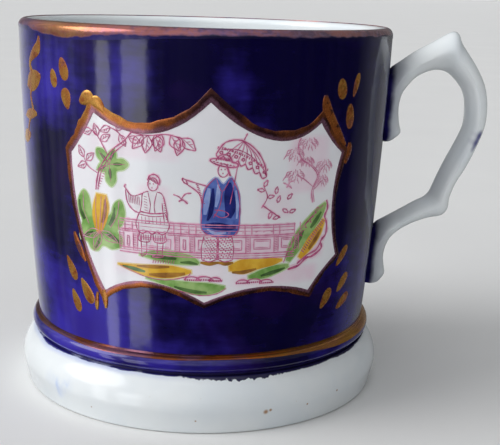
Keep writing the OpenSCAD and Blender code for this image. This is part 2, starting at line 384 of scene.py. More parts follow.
def body_profile():
    fillet_z = floor_z + FLOOR_FILLET
    fillet_r = wall_r(fillet_z) - WALL_T - FLOOR_FILLET
    points = [(0, body_z), (wall_low_r, body_z)]
    points += [(wall_r(z), z) for z in spread(crease_z, lip_z, WALL_STEPS)]
    points += arc(rim_r - lip_r, lip_z, lip_r, 0, 180, 16)[1:]
    points += [(wall_r(z) - WALL_T, z) for z in spread(lip_z, fillet_z, WALL_STEPS)[1:]]
    points += arc(fillet_r, fillet_z, FLOOR_FILLET, 0, -90, 10)[1:]
    return points + [(0, floor_z)]


settle(turned("cup_body", body_profile()), body_white, "white_glaze", "body")

# %% [markdown]
# ## Foot
# The foot is thrown by itself: a band on the table, then a round shoulder up to a narrow neck, hollow
# underneath. Its finish carries the most marks: cobalt that ran over the neck with a ragged edge, pale
# blue smears, iron specks, and the bare ring that was wiped clean so it would not stick in the kiln.

# %% Foot finish
FOOT_BAND_H = 5.4 * MM
FOOT_DRAW_IN = 1.1 * MM
FOOT_SHOULDER_W = 3.1 * MM
SMEAR_BLUE = paint(0.42, 0.55, 0.87)
RUN_PALE = paint(0.38, 0.46, 0.82)
RUN_DEEP = paint(0.006, 0.004, 0.05)
RUN_BRIGHT = paint(0.02, 0.016, 0.20)

foot_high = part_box("foot")[1]
foot_r = foot_high[0]
foot_h = foot_high[2]
# Angle from the front, height and reach of the pale blue smears
BLUE_SMEARS = ((-47, 5.0, 3.4), (-42, 6.4, 2.6), (-51, 6.6, 2.4), (140, 5.5, 4.0))
# Angle, height and radius of the specks that rose through the glaze
SPECKS = (
    (19.2, 4.6, 0.8), (20.6, 4.9, 0.5), (33, 4.6, 0.36), (45, 5.6, 0.36), (-1, 3.2, 0.3), (-33, 3.2, 0.26),
    (118, 4.2, 0.5), (203, 6.4, 0.4),
)


def between(finish, value, low, high, soft):
    """1 between two values and 0 outside them, with soft steps."""
    return finish.fade(value, low - soft, low + soft) * finish.fade(value, high + soft, high - soft)


def on_foot(turn, height):
    """A point on the foot's skin, at an angle in degrees from the front."""
    z = height * MM
    band = min(1.0, z / FOOT_BAND_H)
    rise = max(0.0, (z - FOOT_BAND_H) / (foot_h - FOOT_BAND_H))
    r = foot_r - FOOT_DRAW_IN * (1 - band) - FOOT_SHOULDER_W * rise ** 2
    return about_axis(r, math.radians(turn), z)


def foot_finish():
    finish = Finish("white_glaze_foot")
    colour, normal = white_glaze(finish)
    x, y, z = finish.axes()
    runs = finish.fade(finish.noise(2.6 * MM, 2, (1, 1, 0.55)), 0.42, 0.70)
    for turn, height, reach in BLUE_SMEARS:
        mark = finish.near(on_foot(turn, height), reach * MM, 1.0)
        colour = finish.mix(mark * (runs * 0.55 + 0.10), colour, SMEAR_BLUE)
    for turn, height, reach in SPECKS:
        mark = finish.near(on_foot(turn, height), reach * MM, 0.8)
        colour = finish.mix(mark * 0.9, colour, IRON_SPECK)
    left = finish.fade(x, 4 * MM, -22 * MM)
    ragged = between(finish, x, -2 * MM, 17 * MM, 5 * MM)
    teeth = (finish.noise(1.2 * MM, 3, (1, 1, 0.3)) - 0.5) * (ragged * (1.7 * MM) + 0.2 * MM)
    waves = (finish.noise(7 * MM, 2) - 0.5) * (0.9 * MM)
    run = z + teeth + waves - foot_h + 0.35 * MM + ragged * (0.3 * MM) - left * (0.15 * MM)
    # Towards the left the run is paler at its lower edge and brighter blue: partly thin cobalt, partly
    # painted light on the side where the light falls.
    colour = finish.mix(finish.fade(run, -0.9 * MM, 0.1 * MM) * left * 0.5, colour, RUN_PALE)
    blue = finish.mix(left, RUN_DEEP, RUN_BRIGHT)
    outside = finish.fade((x * x + y * y) ** 0.5, wall_low_r - 1.5 * MM, wall_low_r - 0.5 * MM)
    colour = finish.mix(finish.fade(run, 0, 0.16 * MM) * outside, colour, blue)
    bare = finish.fade(z, 0.12 * MM, 0.05 * MM)
    colour = finish.mix(bare, colour, BARE_CLAY)
    return finish.surface(Base_Color=colour, Roughness=GLAZE_ROUGH + bare * 0.6, Normal=normal)


foot_white = foot_finish()
print("made", foot_white.name)

# %% [markdown]
# The foot could be cut from a cylinder with bevels, but its shoulder is one clean curve, so it is turned
# like the body. The shoulder's arc starts upright at the band and ends at the neck, and these two fix its
# radius.

# %% Foot
FOOT_NECK_W = 0.95 * MM
FOOT_RING_W = 6 * MM
FOOT_EDGE = 0.7 * MM
FOOT_SEAT_W = 5.4 * MM


def foot_profile():
    base_r = foot_r - FOOT_DRAW_IN
    sweep = foot_r - wall_low_r - FOOT_NECK_W
    rise = foot_h - FOOT_BAND_H
    shoulder = (sweep ** 2 + rise ** 2) / (2 * sweep)
    turn = math.degrees(2 * math.atan2(sweep, rise))
    seat = (wall_low_r - FOOT_SEAT_W, foot_h)
    points = [seat, (base_r - FOOT_RING_W, FOOT_EDGE)]
    points += arc(base_r - FOOT_RING_W + FOOT_EDGE, FOOT_EDGE, FOOT_EDGE, 180, 270, 5)[1:]
    points += arc(base_r - FOOT_EDGE, FOOT_EDGE, FOOT_EDGE, -90, 0, 6)
    points += [(base_r + FOOT_DRAW_IN * share, FOOT_EDGE + (FOOT_BAND_H - FOOT_EDGE) * share)
               for share in spread(0.1, 0.96, 6)]
    points += arc(foot_r - shoulder, FOOT_BAND_H, shoulder, 0, turn, 16)[1:]
    return points + [seat]


settle(turned("cup_foot", foot_profile()), foot_white, "white_glaze", "foot")

# %% [markdown]
# ## Cobalt
# The ground is cobalt under a clear glaze, laid on with a wide brush. It is almost black where it is
# thick and violet blue where it is thin, with level brush streaks and soft clouds. Noises at different
# stretches give both, and a few places are listed as thinner or thicker. Some of the thin places are
# partly painted light, on the left where the light falls, and painted highlights on the bead. The lower
# left of the front is lightened as a painted reflection of the white foot. The bead over the foot's
# joint has the same finish.

# %% Cobalt finish
COBALT_VIOLET = paint(0.02, 0.004, 0.085)
# Angle from the front, height and reach of places where the colour is thin or thick. Most thin places in
# front lie on the left, where the light falls, and are partly painted light. The two at the bead's height
# are painted highlights. The rest are where the brush left the colour thin or thick.
THIN_AND_LIT_PLACES = (
    (-80, 55, 20), (-44, 22, 15), (-24, 23, 14), (6, 73, 8), (-20, 74, 10), (-40, 14, 15), (-12, 13, 8),
    (-50, 70, 11), (-60, 32, 14), (150, 60, 20), (-150, 34, 18),
)
THICK_PLACES = (
    (-3, 76, 12), (34, 75, 20), (30, 22, 20), (-54, 52, 13), (-53, 39, 13), (62, 50, 24),
    (100, 70, 20), (200, 74, 16),
)


def cobalt_finish():
    finish = Finish("cobalt_glaze")
    x, z = finish.axes("XZ")
    clouds = finish.noise(22 * MM, 3, (1, 1, 0.8))
    streaks = finish.noise(8 * MM, 4, (1, 1, 5), 0.6)
    mottle = finish.noise(3.2 * MM, 3)
    # Painted reflection: the ground is lighter low down on the left of the front, where the white foot is
    # mirrored.
    low = finish.fade(z, 22 * MM, 17 * MM) * finish.fade(x, 12 * MM, -12 * MM)
    thin = clouds * 0.62 + streaks * 0.19 + mottle * 0.19 + low * 0.13
    for weight, places in ((0.17, THIN_AND_LIT_PLACES), (-0.16, THICK_PLACES)):
        for turn, height, reach in places:
            spot = about_axis(wall_r(height * MM), math.radians(turn), height * MM)
            thin = thin + finish.near(spot, reach * MM, 1.0) * weight
    colour = finish.mix(finish.fade(thin, 0.40, 0.84), COBALT_DEEP, COBALT_BRIGHT)
    violet = finish.fade(finish.noise(15 * MM, 2), 0.50, 0.72)
    colour = finish.mix(violet * 0.35, colour, COBALT_VIOLET)
    normal = finish.bump(finish.noise(6 * MM, 2), 0.06 * MM)
    return finish.surface(Base_Color=colour, Roughness=0.07 + mottle * 0.06, Normal=normal)


cobalt = cobalt_finish()
print("made", cobalt.name)

# %% [markdown]
# ## Bead
# A half-round bead hides the joint between body and foot. It is a small turned piece.

# %% Bead
BEAD_BITE = 0.4 * MM

bead_low, bead_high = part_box("bead_moulding")
bead_r = (bead_high[2] - bead_low[2]) / 2
bead_mid = (wall_low_r, (bead_high[2] + bead_low[2]) / 2)


def bead_profile():
    inside = wall_low_r - BEAD_BITE
    rounded = arc(*bead_mid, bead_r, -90, 90, 20)
    return [(inside, bead_low[2])] + rounded + [(inside, bead_high[2]), (inside, bead_low[2])]


settle(turned("cup_bead", bead_profile()), cobalt, "cobalt_glaze", "bead_moulding")

# %% [markdown]
# ## Drawing on the wall
# Panels, borders, petals and print are drawn flat, as on paper, and then wrapped on the wall. In the
# flat drawing x is the distance round the wall from a panel's middle, y the height over the middle,
# and z the height over the clay. A filled drawing is a flat curve with a little thickness, made a mesh
# and cut into narrow strips, so that it can bend.

# %% Flat drawings
PAPER_ASPECT = 5


def smooth(points, steps=4, closed=False):
    """A smooth path that passes through every point."""
    last = len(points) - 1
    count = len(points) if closed else last

    def at(i):
        return points[i % len(points)] if closed else points[min(max(i, 0), last)]

    path = []
    for i in range(count):
        a, b, c, d = (Vector(at(i + k)) for k in (-1, 0, 1, 2))
        for k in range(steps):
            t = k / steps
            path.append(0.5 * (2 * b + (c - a) * t + (2 * a - 5 * b + 4 * c - d) * t ** 2
                               + (3 * b - a - 3 * c + d) * t ** 3))
    return path if closed else path + [Vector(points[-1])]


def made_mesh(curve):
    """Puts a curve in the scene and turns it into a mesh."""
    piece = bpy.data.objects.new(curve.name, curve)
    bpy.context.collection.objects.link(piece)
    pick(piece)
    bpy.ops.object.convert(target="MESH")
    return bpy.context.object


def filled(name, outlines, thick, step=None):
    """Flat plates with these outlines, in millimetres, cut into strips a step wide."""
    curve = bpy.data.curves.new(name, "CURVE")
    curve.dimensions = "2D"
    curve.fill_mode = "BOTH"
    curve.extrude = thick / 2
    for outline in outlines:
        spline = curve.splines.new("POLY")
        spline.points.add(len(outline) - 1)
        spline.use_cyclic_u = True
        for point, (x, y) in zip(spline.points, outline):
            point.co = (x * MM, y * MM, 0, 1)
    piece = made_mesh(curve)
    clean(piece)
    if step:
        cut(piece, step, (1, 0, 0))
        cut(piece, PAPER_ASPECT * step, (0, 1, 0))
    return piece


def cut(piece, step, direction):
    """Bisects a piece along a direction at every step."""
    edit(piece)
    spots = [v.co.dot(Vector(direction)) for v in bmesh.from_edit_mesh(piece.data).verts]
    for k in range(math.ceil(min(spots) / step), math.ceil(max(spots) / step)):
        bpy.ops.mesh.select_all(action="SELECT")
        bpy.ops.mesh.bisect(plane_co=Vector(direction) * step * k, plane_no=direction)
    bpy.ops.object.mode_set(mode="OBJECT")


def wrap(piece, lift, turn=0, flatten=1):
    """Bends a flat drawing round the wall, a lift over the clay, at an angle in degrees from the front."""
    for vertex in piece.data.vertices:
        x, y, depth = vertex.co
        z = panel_z + y
        angle = math.radians(turn) + x / wall_r(z)
        vertex.co = about_axis(wall_r(z) + lift + depth * flatten, angle, z)
    clean(piece)
    return piece


print("drawing helpers ready")

# %% [markdown]
# ## The reserve's outline
# Each reserve has nine cusps with hollow curves between them, as if paper were pinned at its corners.
# A row holds a cusp and the point that pulls the curve towards the middle, so that a quadratic curve
# runs from cusp to cusp.

# %% Reserve outline
RESERVE = (
    ((1.0, 20.65), (14.5, 7.85)),
    ((24.7, 16.35), (27.2, 12.35)),
    ((31.2, 9.55), (26.8, -1.75)),
    ((31.2, -12.75), (26.6, -15.45)),
    ((23.5, -19.65), (12.0, -15.05)),
    ((0.5, -20.75), (-11.9, -13.25)),
    ((-20.8, -20.15), (-28.9, -7.45)),
    ((-29.5, 8.55), (-26.0, 12.35)),
    ((-23.3, 17.45), (-9.9, 9.05)),
)
SIDE_STEPS = 14
MITRE_LIMIT = 1.6


def reserve_outline():
    points = []
    for i, (cusp, pull) in enumerate(RESERVE):
        a, b, c = Vector(cusp), Vector(pull), Vector(RESERVE[(i + 1) % len(RESERVE)][0])
        for k in range(SIDE_STEPS):
            t = k / SIDE_STEPS
            points.append(a * (1 - t) ** 2 + b * 2 * t * (1 - t) + c * t ** 2)
    return points


def outward(points):
    """At each point of a clockwise outline, the step that widens it by one unit, mitred at cusps."""
    steps = []
    for i, here in enumerate(points):
        before = (here - points[i - 1]).normalized()
        after = (points[(i + 1) % len(points)] - here).normalized()
        both = Vector((-before.y, before.x)) + Vector((-after.y, after.x))
        step = both / (both.length_squared / 2)
        steps.append(step if step.length < MITRE_LIMIT else step.normalized() * MITRE_LIMIT)
    return steps


outline = reserve_outline()
outline_steps = outward(outline)


def widened(margin):
    return [point + step * margin for point, step in zip(outline, outline_steps)]


print("reserve outline has", len(outline), "points")

# %% [markdown]
# ## Reserves
# The reserves are white glaze that takes the print, flush with the cobalt. The pink of the transfer
# bleeds into the glaze round the printed parts, so the finish has a blushing zone for each of them.

# %% Reserves
STRIP = 1.5 * MM
RESERVE_MARGIN = 0.25
SIDES = {"front": 0, "back": 180}
BLUSH_PINK = paint(0.79, 0.43, 0.60)
RESERVE_LILAC = paint(0.86, 0.82, 0.87)
# Where the pink bleeds: left, right, bottom and top in the reserve's millimetres, and strength
BLUSHES = (
    (-17, 19, -10.6, -4.4, 0.85), (-13, -7, -8, 3.4, 0.55), (17.5, 26.5, 2, 13.5, 0.80),
    (-24, -5, 8.5, 14.5, 0.40), (20.5, 27, -12.5, -5, 0.85), (6, 26, -17.2, -13.6, 0.75),
    (-19, 5, -15.5, -11, 0.45), (11, 18.5, -3, 3, 0.40),
)


def reserve_finish():
    finish = Finish("print_white")
    colour, normal = white_glaze(finish)
    x, y, z = finish.axes()
    side = finish.maths("SIGN", y)
    turn = finish.maths("ARCTAN2", x * side * -1, y * side)
    along_wall = turn * (wall_r(panel_z) / MM)
    above = (z - panel_z) / MM
    bleed = finish.noise(3.4 * MM, 4, rough=0.6) * 0.9 + 0.35
    for left, right, low, high, strength in BLUSHES:
        zone = between(finish, along_wall, left, right, 1.4) * between(finish, above, low, high, 1.0)
        colour = finish.mix(zone * bleed * strength, colour, BLUSH_PINK)
    lilac = finish.fade(finish.noise(20 * MM, 2), 0.35, 0.75)
    colour = finish.mix(lilac * 0.35 + 0.35, colour, RESERVE_LILAC)
    return finish.surface(Base_Color=colour, Roughness=0.12, Normal=normal)


print_white = reserve_finish()
for side, turn in SIDES.items():
    reserve = filled(f"{side}_reserve", [widened(RESERVE_MARGIN)], glaze_t, STRIP)
    wrap(reserve, glaze_t / 2, turn)
    settle(reserve, print_white, "print_panel", f"{side}_print_panel")

# %% [markdown]
# ## Cobalt ground
# The ground is a thin turned skin with two windows. The windows are cut with a Boolean, a little wider
# than the reserves, so that the cut hides under the lustre border.

# %% Cobalt ground
WINDOW_MARGIN = 0.5
CUTTER_T = 1.2 * MM
CUTTER_LIFT = 0.1 * MM
GROUND_BITE = 0.05 * MM


def ground_profile():
    outer = [(wall_r(z) + glaze_t, z) for z in spread(crease_z, lip_z, WALL_STEPS)]
    inner = [(wall_r(z) - GROUND_BITE, z) for z in spread(lip_z, crease_z, WALL_STEPS)]
    return outer + inner + outer[:1]


def cut_window(skin, turn):
    cutter = filled("window_cutter", [widened(WINDOW_MARGIN)], CUTTER_T, STRIP)
    wrap(cutter, CUTTER_LIFT, turn)
    pick(skin)
    window = skin.modifiers.new("window", "BOOLEAN")
    window.operation = "DIFFERENCE"
    window.solver = "EXACT"
    window.object = cutter
    bpy.ops.object.modifier_apply(modifier=window.name)
    bpy.data.objects.remove(cutter)


ground = turned("cobalt_skin", ground_profile())
for turn in SIDES.values():
    cut_window(ground, turn)
clean(ground)
settle(ground, cobalt, "cobalt_glaze", "cobalt_ground")

# %% [markdown]
# ## Copper lustre
# Lustre is a film of copper fired on the glaze, half metal and half stain: ochre gold where it is
# thick and bright, red brown where it is thin, and mauve at its edges. On the rim the brush was golden
# at the left and ran dry towards the right, where the cobalt shows under the band. The borders carry
# two attributes, how far across the line a point lies and how golden that stretch is. The petals take
# their tones from noise alone.

# %% Lustre finishes
LUSTRE_GOLD = paint(0.52, 0.265, 0.05)
LUSTRE_COPPER = paint(0.40, 0.115, 0.025)
LUSTRE_DARK = paint(0.045, 0.012, 0.016)
LUSTRE_MAUVE = paint(0.29, 0.135, 0.21)
RIM_VIOLET = paint(0.19, 0.12, 0.30)
RIM_PALE = paint(0.36, 0.27, 0.34)
# From the axis to the middle of the golden and of the coppery stretch of the rim, in rim radii
RIM_GOLD_AT = (-0.69, -0.72)
RIM_COPPER_AT = (-0.30, -0.95)


def lustre(finish, tone, thin, metal=0.75, rough=0.17, tint=LUSTRE_MAUVE, bare=0, under=LUSTRE_DARK):
    """Closes a lustre finish. Tone runs from a dark film at 0 to gold at 1. Thin places take a tint, and
    bare ones show the colour under the film."""
    grain = finish.noise(1.1 * MM, 4, rough=0.65)
    colour = finish.mix(finish.fade(tone, 0.0, 0.45), LUSTRE_DARK, LUSTRE_COPPER)
    colour = finish.mix(finish.fade(tone, 0.45, 0.95), colour, LUSTRE_GOLD)
    colour = finish.mix(bare, finish.mix(thin, colour, tint), under)
    return finish.surface(
        Base_Color=colour, Metallic=metal * (1 - bare), Roughness=rough + grain * 0.2,
        Normal=finish.bump(grain * 0.5 + finish.noise(3 * MM, 2), 0.05 * MM))


def petal_finish(name, golden):
    finish = Finish(name)
    film = finish.noise(4 * MM, 4, rough=0.6)
    worn = finish.fade(finish.noise(1.8 * MM, 3), 0.55, 0.68)
    tone = film * 1.2 + golden - worn * 0.4
    return lustre(finish, tone, finish.fade(film, 0.42, 0.30) * 0.4, 0.6)


def rim_finish():
    finish = Finish("lustre_rim")
    film = finish.noise(9 * MM, 4, (1, 1, 0.5), 0.6)
    x, z = finish.axes("XZ")
    gold = finish.near((*(rim_r * share for share in RIM_GOLD_AT), lip_z), 17 * MM, 0.9)
    copper = finish.near((*(rim_r * share for share in RIM_COPPER_AT), lip_z), 15 * MM, 0.9)
    speckle = finish.fade(finish.noise(0.8 * MM, 2), 0.48, 0.62)
    worn = finish.fade(finish.noise(2.2 * MM, 3, (1, 1, 2)), 0.50, 0.68)
    tone = film * 0.9 + gold * 0.5 + copper * 0.2 - worn * 0.2 - 0.2
    crown = finish.fade(z, lip_z - 0.5 * MM, lip_z + 0.9 * MM)
    mauve = (1 - gold * 0.7 - copper * 0.3) * (0.66 + speckle * 0.3) * (1 - crown * 0.4)
    right = finish.fade(x, 6 * MM, 26 * MM)
    tint = finish.mix(right * 0.7, RIM_VIOLET, RIM_PALE)
    waver = (finish.noise(3 * MM, 3, (1, 1, 0.4)) - 0.5) * (1.3 * MM)
    height = z + waver + gold * (1.6 * MM) + copper * (0.4 * MM)
    bare = finish.fade(height, lip_z + 0.65 * MM, lip_z + 0.2 * MM)
    # Where the band ran dry the cobalt shows through, brighter towards the left: partly painted light, as on
    # the lit side of the ground.
    left = finish.fade(x, 4 * MM, -22 * MM)
    under = finish.mix(left * film * 0.5, COBALT_DEEP, COBALT_BRIGHT)
    metal = gold * 0.4 + copper * 0.2 + 0.42
    return lustre(finish, tone, mauve, metal, 0.08, tint, bare, under)


def bead_finish():
    finish = Finish("lustre_bead")
    film = finish.noise(8 * MM, 4, (1, 1, 3), 0.6)
    # The film is golden towards the right and darker towards the left, where the dark colour partly stands
    # for the cobalt wall mirrored in the lustre: painted reflection.
    right = finish.fade(finish.axis("X"), 0, 24 * MM)
    tone = film * 0.5 + right * 0.58 - 0.08
    return lustre(finish, tone, finish.fade(film, 0.6, 0.40) * (0.55 - right * 0.35), 0.9, 0.1)


def border_finish():
    finish = Finish("lustre_border")
    across = finish.attribute("across")
    film = finish.noise(3.5 * MM, 4, rough=0.6) - 0.5
    edge = finish.fade(across, 0.55, 0.95)
    tone = finish.attribute("tone") * (edge * 0.25 + 0.9) + film * 0.8
    fringe = finish.fade(across + film * 0.6, 0.46, 0.10)
    return lustre(finish, tone, fringe * 0.85, 0.62)


petal_lustre = petal_finish("lustre_petals", 0.12)
brown_lustre = petal_finish("lustre_brown", -0.22)
rim_lustre = rim_finish()
bead_lustre = bead_finish()
border_lustre = border_finish()
print("made five lustre finishes")

# %% [markdown]
# ## Rim band
# The brush went once round the lip, so the band's lower edge wanders and drops furthest at the left of
# the front. The band is turned, and its outer edge is then drawn down by a few slow waves.

# %% Rim band
RIM_LIFT = 0.04 * MM
RIM_EDGE = 80.95 * MM
RIM_TOP = lip_z + 0.7 * MM
RIM_START = lip_z - 0.7 * MM
RIM_REACH = 82
RIM_DIP = 1.2 * MM
RIM_SPARE = 0.02 * MM
RIM_BITE = 0.15 * MM
RIM_EDGE_BITE = 0.1 * MM


def hump(angle, middle, reach):
    """1 at an angle from the front and next to nothing two reaches away. The last two are in degrees."""
    return math.exp(-((angle - math.radians(middle)) / math.radians(reach)) ** 2)


def rim_edge(angle):
    """Height of the band's outer edge, at an angle from the front."""
    wander = 0.16 * math.sin(3 * angle + 0.6) + 0.10 * math.sin(8 * angle) + 0.05 * math.sin(31 * angle)
    return RIM_EDGE + wander * MM - RIM_DIP * hump(angle, -36, 17)


def rim_profile():
    mid_r = rim_r - lip_r
    lustre_r = cup_top - lip_z - RIM_SPARE
    skin = glaze_t + RIM_LIFT
    outside = [(rim_r + skin, z) for z in spread(RIM_START, lip_z, 4)]
    over = []
    for turn in spread(0, math.radians(RIM_REACH), 14)[1:]:
        size = lustre_r + max(0.0, math.cos(turn)) * (lip_r + skin - lustre_r)
        over.append((mid_r + size * math.cos(turn), lip_z + size * math.sin(turn)))
    hidden = arc(mid_r, lip_z, lip_r - RIM_BITE, RIM_REACH, 0, 10)
    return outside + over + hidden + [(rim_r - RIM_EDGE_BITE, RIM_START)] + outside[:1]


def drop_edge(band):
    """Draws the band's outer edge to its height, more the lower a point lies."""
    for vertex in band.data.vertices:
        x, y, z = vertex.co
        r = math.hypot(x, y)
        if r < rim_r - lip_r / 2 or z > RIM_TOP:
            continue
        angle = math.atan2(x, -y)
        share = (RIM_TOP - z) / (RIM_TOP - RIM_START)
        moved = RIM_TOP - share * (RIM_TOP - rim_edge(angle))
        scale = (r + wall_r(moved) - wall_r(z)) / r
        vertex.co = (x * scale, y * scale, moved)


rim_band = turned("rim_band", rim_profile())
drop_edge(rim_band)
clean(rim_band)
settle(rim_band, rim_lustre, "copper_lustre", "rim_lustre")

# %% [markdown]
# ## Line on the bead
# A second lustre line lies in the crease above the bead. It is thin in front and covers most of the
# bead's top towards the handle. Each point is turned round the bead's section by the line's width.

# %% Bead line
LINE_LIFT = 0.1 * MM
LINE_BITE = 0.15 * MM
LINE_TOP = 78.0
LINE_LOW = 52.0
# How far the line climbs the wall over the crease: where it leaves the bead, and its upper edge
LINE_CLIMB = (0.2 * MM, 0.5 * MM)
LINE_EDGE_BITE = 0.1 * MM


def line_low(angle):
    """Where the line ends on the bead's section, in degrees, at an angle from the front."""
    waver = 4 * math.sin(5 * angle) + 2 * math.sin(13 * angle)
    return LINE_LOW - 36 * hump(angle, 62, 36) - 10 * hump(angle, -28, 20) + waver


def line_profile():
    skin = wall_low_r + glaze_t
    outside = arc(*bead_mid, bead_r + LINE_LIFT, LINE_LOW, LINE_TOP, 10)
    crease = [(skin + LINE_LIFT, crease_z + climb) for climb in LINE_CLIMB]
    crease.append((skin - LINE_EDGE_BITE, crease_z + LINE_CLIMB[1]))
    inside = arc(*bead_mid, bead_r - LINE_BITE, LINE_TOP, LINE_LOW, 10)
    return outside + crease + inside + outside[:1]


def widen_line(line):
    """Turns points round the bead's section, so that the line's lower edge wanders."""
    for vertex in line.data.vertices:
        x, y, z = vertex.co
        r = math.hypot(x, y)
        turn = math.degrees(math.atan2(z - bead_mid[1], r - bead_mid[0]))
        if turn > LINE_TOP or z > crease_z:
            continue
        low = line_low(math.atan2(x, -y))
        moved = math.radians(LINE_TOP - (LINE_TOP - turn) * (LINE_TOP - low) / (LINE_TOP - LINE_LOW))
        size = math.hypot(z - bead_mid[1], r - bead_mid[0])
        scale = (bead_mid[0] + size * math.cos(moved)) / r
        vertex.co = (x * scale, y * scale, bead_mid[1] + size * math.sin(moved))


bead_line = turned("bead_line", line_profile())
widen_line(bead_line)
clean(bead_line)
settle(bead_line, bead_lustre, "copper_lustre", "bead_lustre")

# %% [markdown]
# ## Borders
# A border is one brush line round a reserve, wide and golden at some cusps and worn to a dark thread
# along the lower sides. It is a loft: the outline is extruded across the line, row by row, over a low
# crown, and closes on itself underneath. Width and tone are given at each cusp and half way to the
# next.

# %% Loft


def lofted(name, rings):
    """Extrudes one ring of points from place to place. Points keep their order as an attribute."""
    deselect()
    bpy.ops.mesh.primitive_circle_add(vertices=len(rings[0]), radius=MM)
    piece = just_added(name)
    for mark in ("order", "row"):
        piece.data.attributes.new(mark, "INT", "POINT")
    for i, value in enumerate(piece.data.attributes["order"].data):
        value.value = i
    edit(piece)
    for row, ring in enumerate(rings):
        if row:
            bpy.ops.mesh.extrude_region_move()
        mesh = bmesh.from_edit_mesh(piece.data)
        order, rows = mesh.verts.layers.int["order"], mesh.verts.layers.int["row"]
        for vertex in mesh.verts:
            if vertex.select:
                vertex.co = ring[vertex[order]]
                vertex[rows] = row
        bmesh.update_edit_mesh(piece.data)
    bpy.ops.object.mode_set(mode="OBJECT")
    return piece


def joined(name, pieces):
    """Joins pieces into the first one."""
    pick(*pieces)
    bpy.ops.object.join()
    return just_added(name)


print("loft ready")

# %% [markdown]
# A curve with a bevel would give the line one even section. The loft lets the width change from point to
# point, and its attributes let the finish fade across the line and along it.

# %% Borders
# Both at each cusp and half way to the next, from the top cusp on
BORDER_WIDTHS = (1.7, 1.7, 1.5, 1.5, 1.5, 0.9, 1.0, 0.9, 1.3, 1.0, 1.0, 1.1, 1.5, 0.9, 1.5, 1.9, 2.0, 1.9)
BORDER_TONES = (
    0.02, 0.14, 0.22, 0.30, 0.20, 0.00, 0.06, 0.05, 0.18,
    0.10, 0.04, 0.26, 0.55, 0.05, 0.30, 0.50, 0.75, 0.42,
)
# Share across the line, height over the clay in millimetres, and the value of the attribute
BORDER_ROWS = (
    (-0.14, 0.05, 0.0), (-0.14, 0.30, 0.0), (-0.04, 0.35, 0.08), (0.2, 0.39, 0.25), (0.5, 0.42, 0.5),
    (0.8, 0.39, 0.75), (0.96, 0.35, 0.92), (1.0, 0.28, 1.0), (1.0, 0.05, 1.0), (-0.14, 0.05, 0.0),
)


def along(values, i):
    """A value between those at cusps and half-way points, for a point of the outline."""
    spot = i * len(values) / len(outline)
    k = int(spot)
    t = spot - k
    return values[k] * (1 - t) + values[(k + 1) % len(values)] * t


def brushed_width(i):
    waver = 1 + 0.10 * math.sin(i * 0.9) + 0.07 * math.sin(i * 2.3 + 1)
    return along(BORDER_WIDTHS, i) * waver


def border(name, turn):
    rings = []
    for share, height, _ in BORDER_ROWS:
        edge = [point + step * share * brushed_width(i)
                for i, (point, step) in enumerate(zip(outline, outline_steps))]
        rings.append([(p.x * MM, p.y * MM, height * MM) for p in edge])
    piece = lofted(name, rings)
    marks = piece.data.attributes
    for mark in ("across", "tone"):
        marks.new(mark, "FLOAT", "POINT")
    for i in range(len(piece.data.vertices)):
        marks["across"].data[i].value = BORDER_ROWS[marks["row"].data[i].value][2]
        marks["tone"].data[i].value = along(BORDER_TONES, marks["order"].data[i].value)
    return wrap(piece, 0, turn)


for side, turn in SIDES.items():
    settle(border(f"{side}_border", turn), border_lustre, "copper_lustre", f"{side}_panel_border")

# %% [markdown]
# ## Petals
# One touch of a loaded brush leaves a petal: pointed where the brush landed, round where it was
# lifted. Each row is the angle round the wall from a panel's middle, the height, the tilt, the length,
# the width, and how far the point is drawn out, upwards or, below 0, downwards. A touch is a loft with a
# low dome: its outline shrinks ring by ring as it rises.

# %% Petals
PETAL_RISE = 0.06
PETAL_POINTS = 20
# Shares of a touch's size and of its rise, ring by ring from underneath to the top
TOUCH_RINGS = ((0, -0.8), (1, -0.8), (1, 0.05), (0.9, 0.5), (0.65, 0.83), (0.3, 0.97), (0, 1))
LEFT_PETALS = (
    (-43.0, 73.7, 18, 4.8, 2.7, 0.15), (-47.6, 71.6, 14, 3.9, 2.3, 0.1), (-42.2, 67.8, 15, 4.4, 2.7, -0.35),
    (-43.6, 32.0, 30, 5.8, 2.1, 0.4), (-37.4, 27.7, 31, 6.1, 2.5, 0.4), (-42.4, 24.9, 25, 5.3, 2.2, 0.3),
)
RIGHT_PETALS = (
    (41.2, 71.3, 8, 4.3, 2.8, 0.1), (47.4, 71.9, -19, 5.2, 1.7, -0.2), (45.5, 65.5, 2, 5.3, 2.6, 0.1),
    (48.2, 35.2, -42, 5.6, 1.9, -0.3), (50.2, 28.9, -45, 5.3, 2.2, -0.3), (42.2, 26.3, -35, 5.1, 2.3, -0.35),
    (51.6, 24.4, -60, 5.4, 2.2, -0.3),
)


def to_drawing(angle, height):
    """A place on the wall, in the flat drawing's millimetres."""
    return Vector((math.radians(angle) * wall_r(height * MM) / MM, height - panel_z / MM))


def petal(angle, height, tilt, long, wide, point, size=1):
    middle = to_drawing(angle, height)
    lean = Matrix.Rotation(math.radians(tilt), 2)
    shape = []
    for k in range(PETAL_POINTS):
        turn = math.tau * k / PETAL_POINTS
        belly = math.sin(turn) * (1 - point * math.cos(turn))
        shape.append(middle + lean @ Vector((belly * wide / 2, math.cos(turn) * long / 2)) * size)
    return shape


def touches(name, shapes, rise, turn):
    """Brush touches with a low dome. Each shape gives its outline at a share of its size."""
    parts = []
    for shape in shapes:
        rings = [[(x * MM, y * MM, up * rise * MM) for x, y in shape(size=size)] for size, up in TOUCH_RINGS]
        parts.append(lofted(name, rings))
    return wrap(joined(name, parts), glaze_t, turn)


def petals(name, rows, turn, node):
    piece = touches(name, [partial(petal, *row) for row in rows], PETAL_RISE, turn)
    settle(piece, petal_lustre, "copper_lustre", node)


for side, turn in SIDES.items():
    petals(f"{side}_left_lustre", LEFT_PETALS, turn, f"{side}_left_petals")
    petals(f"{side}_right_lustre", RIGHT_PETALS, turn, f"{side}_right_petals")

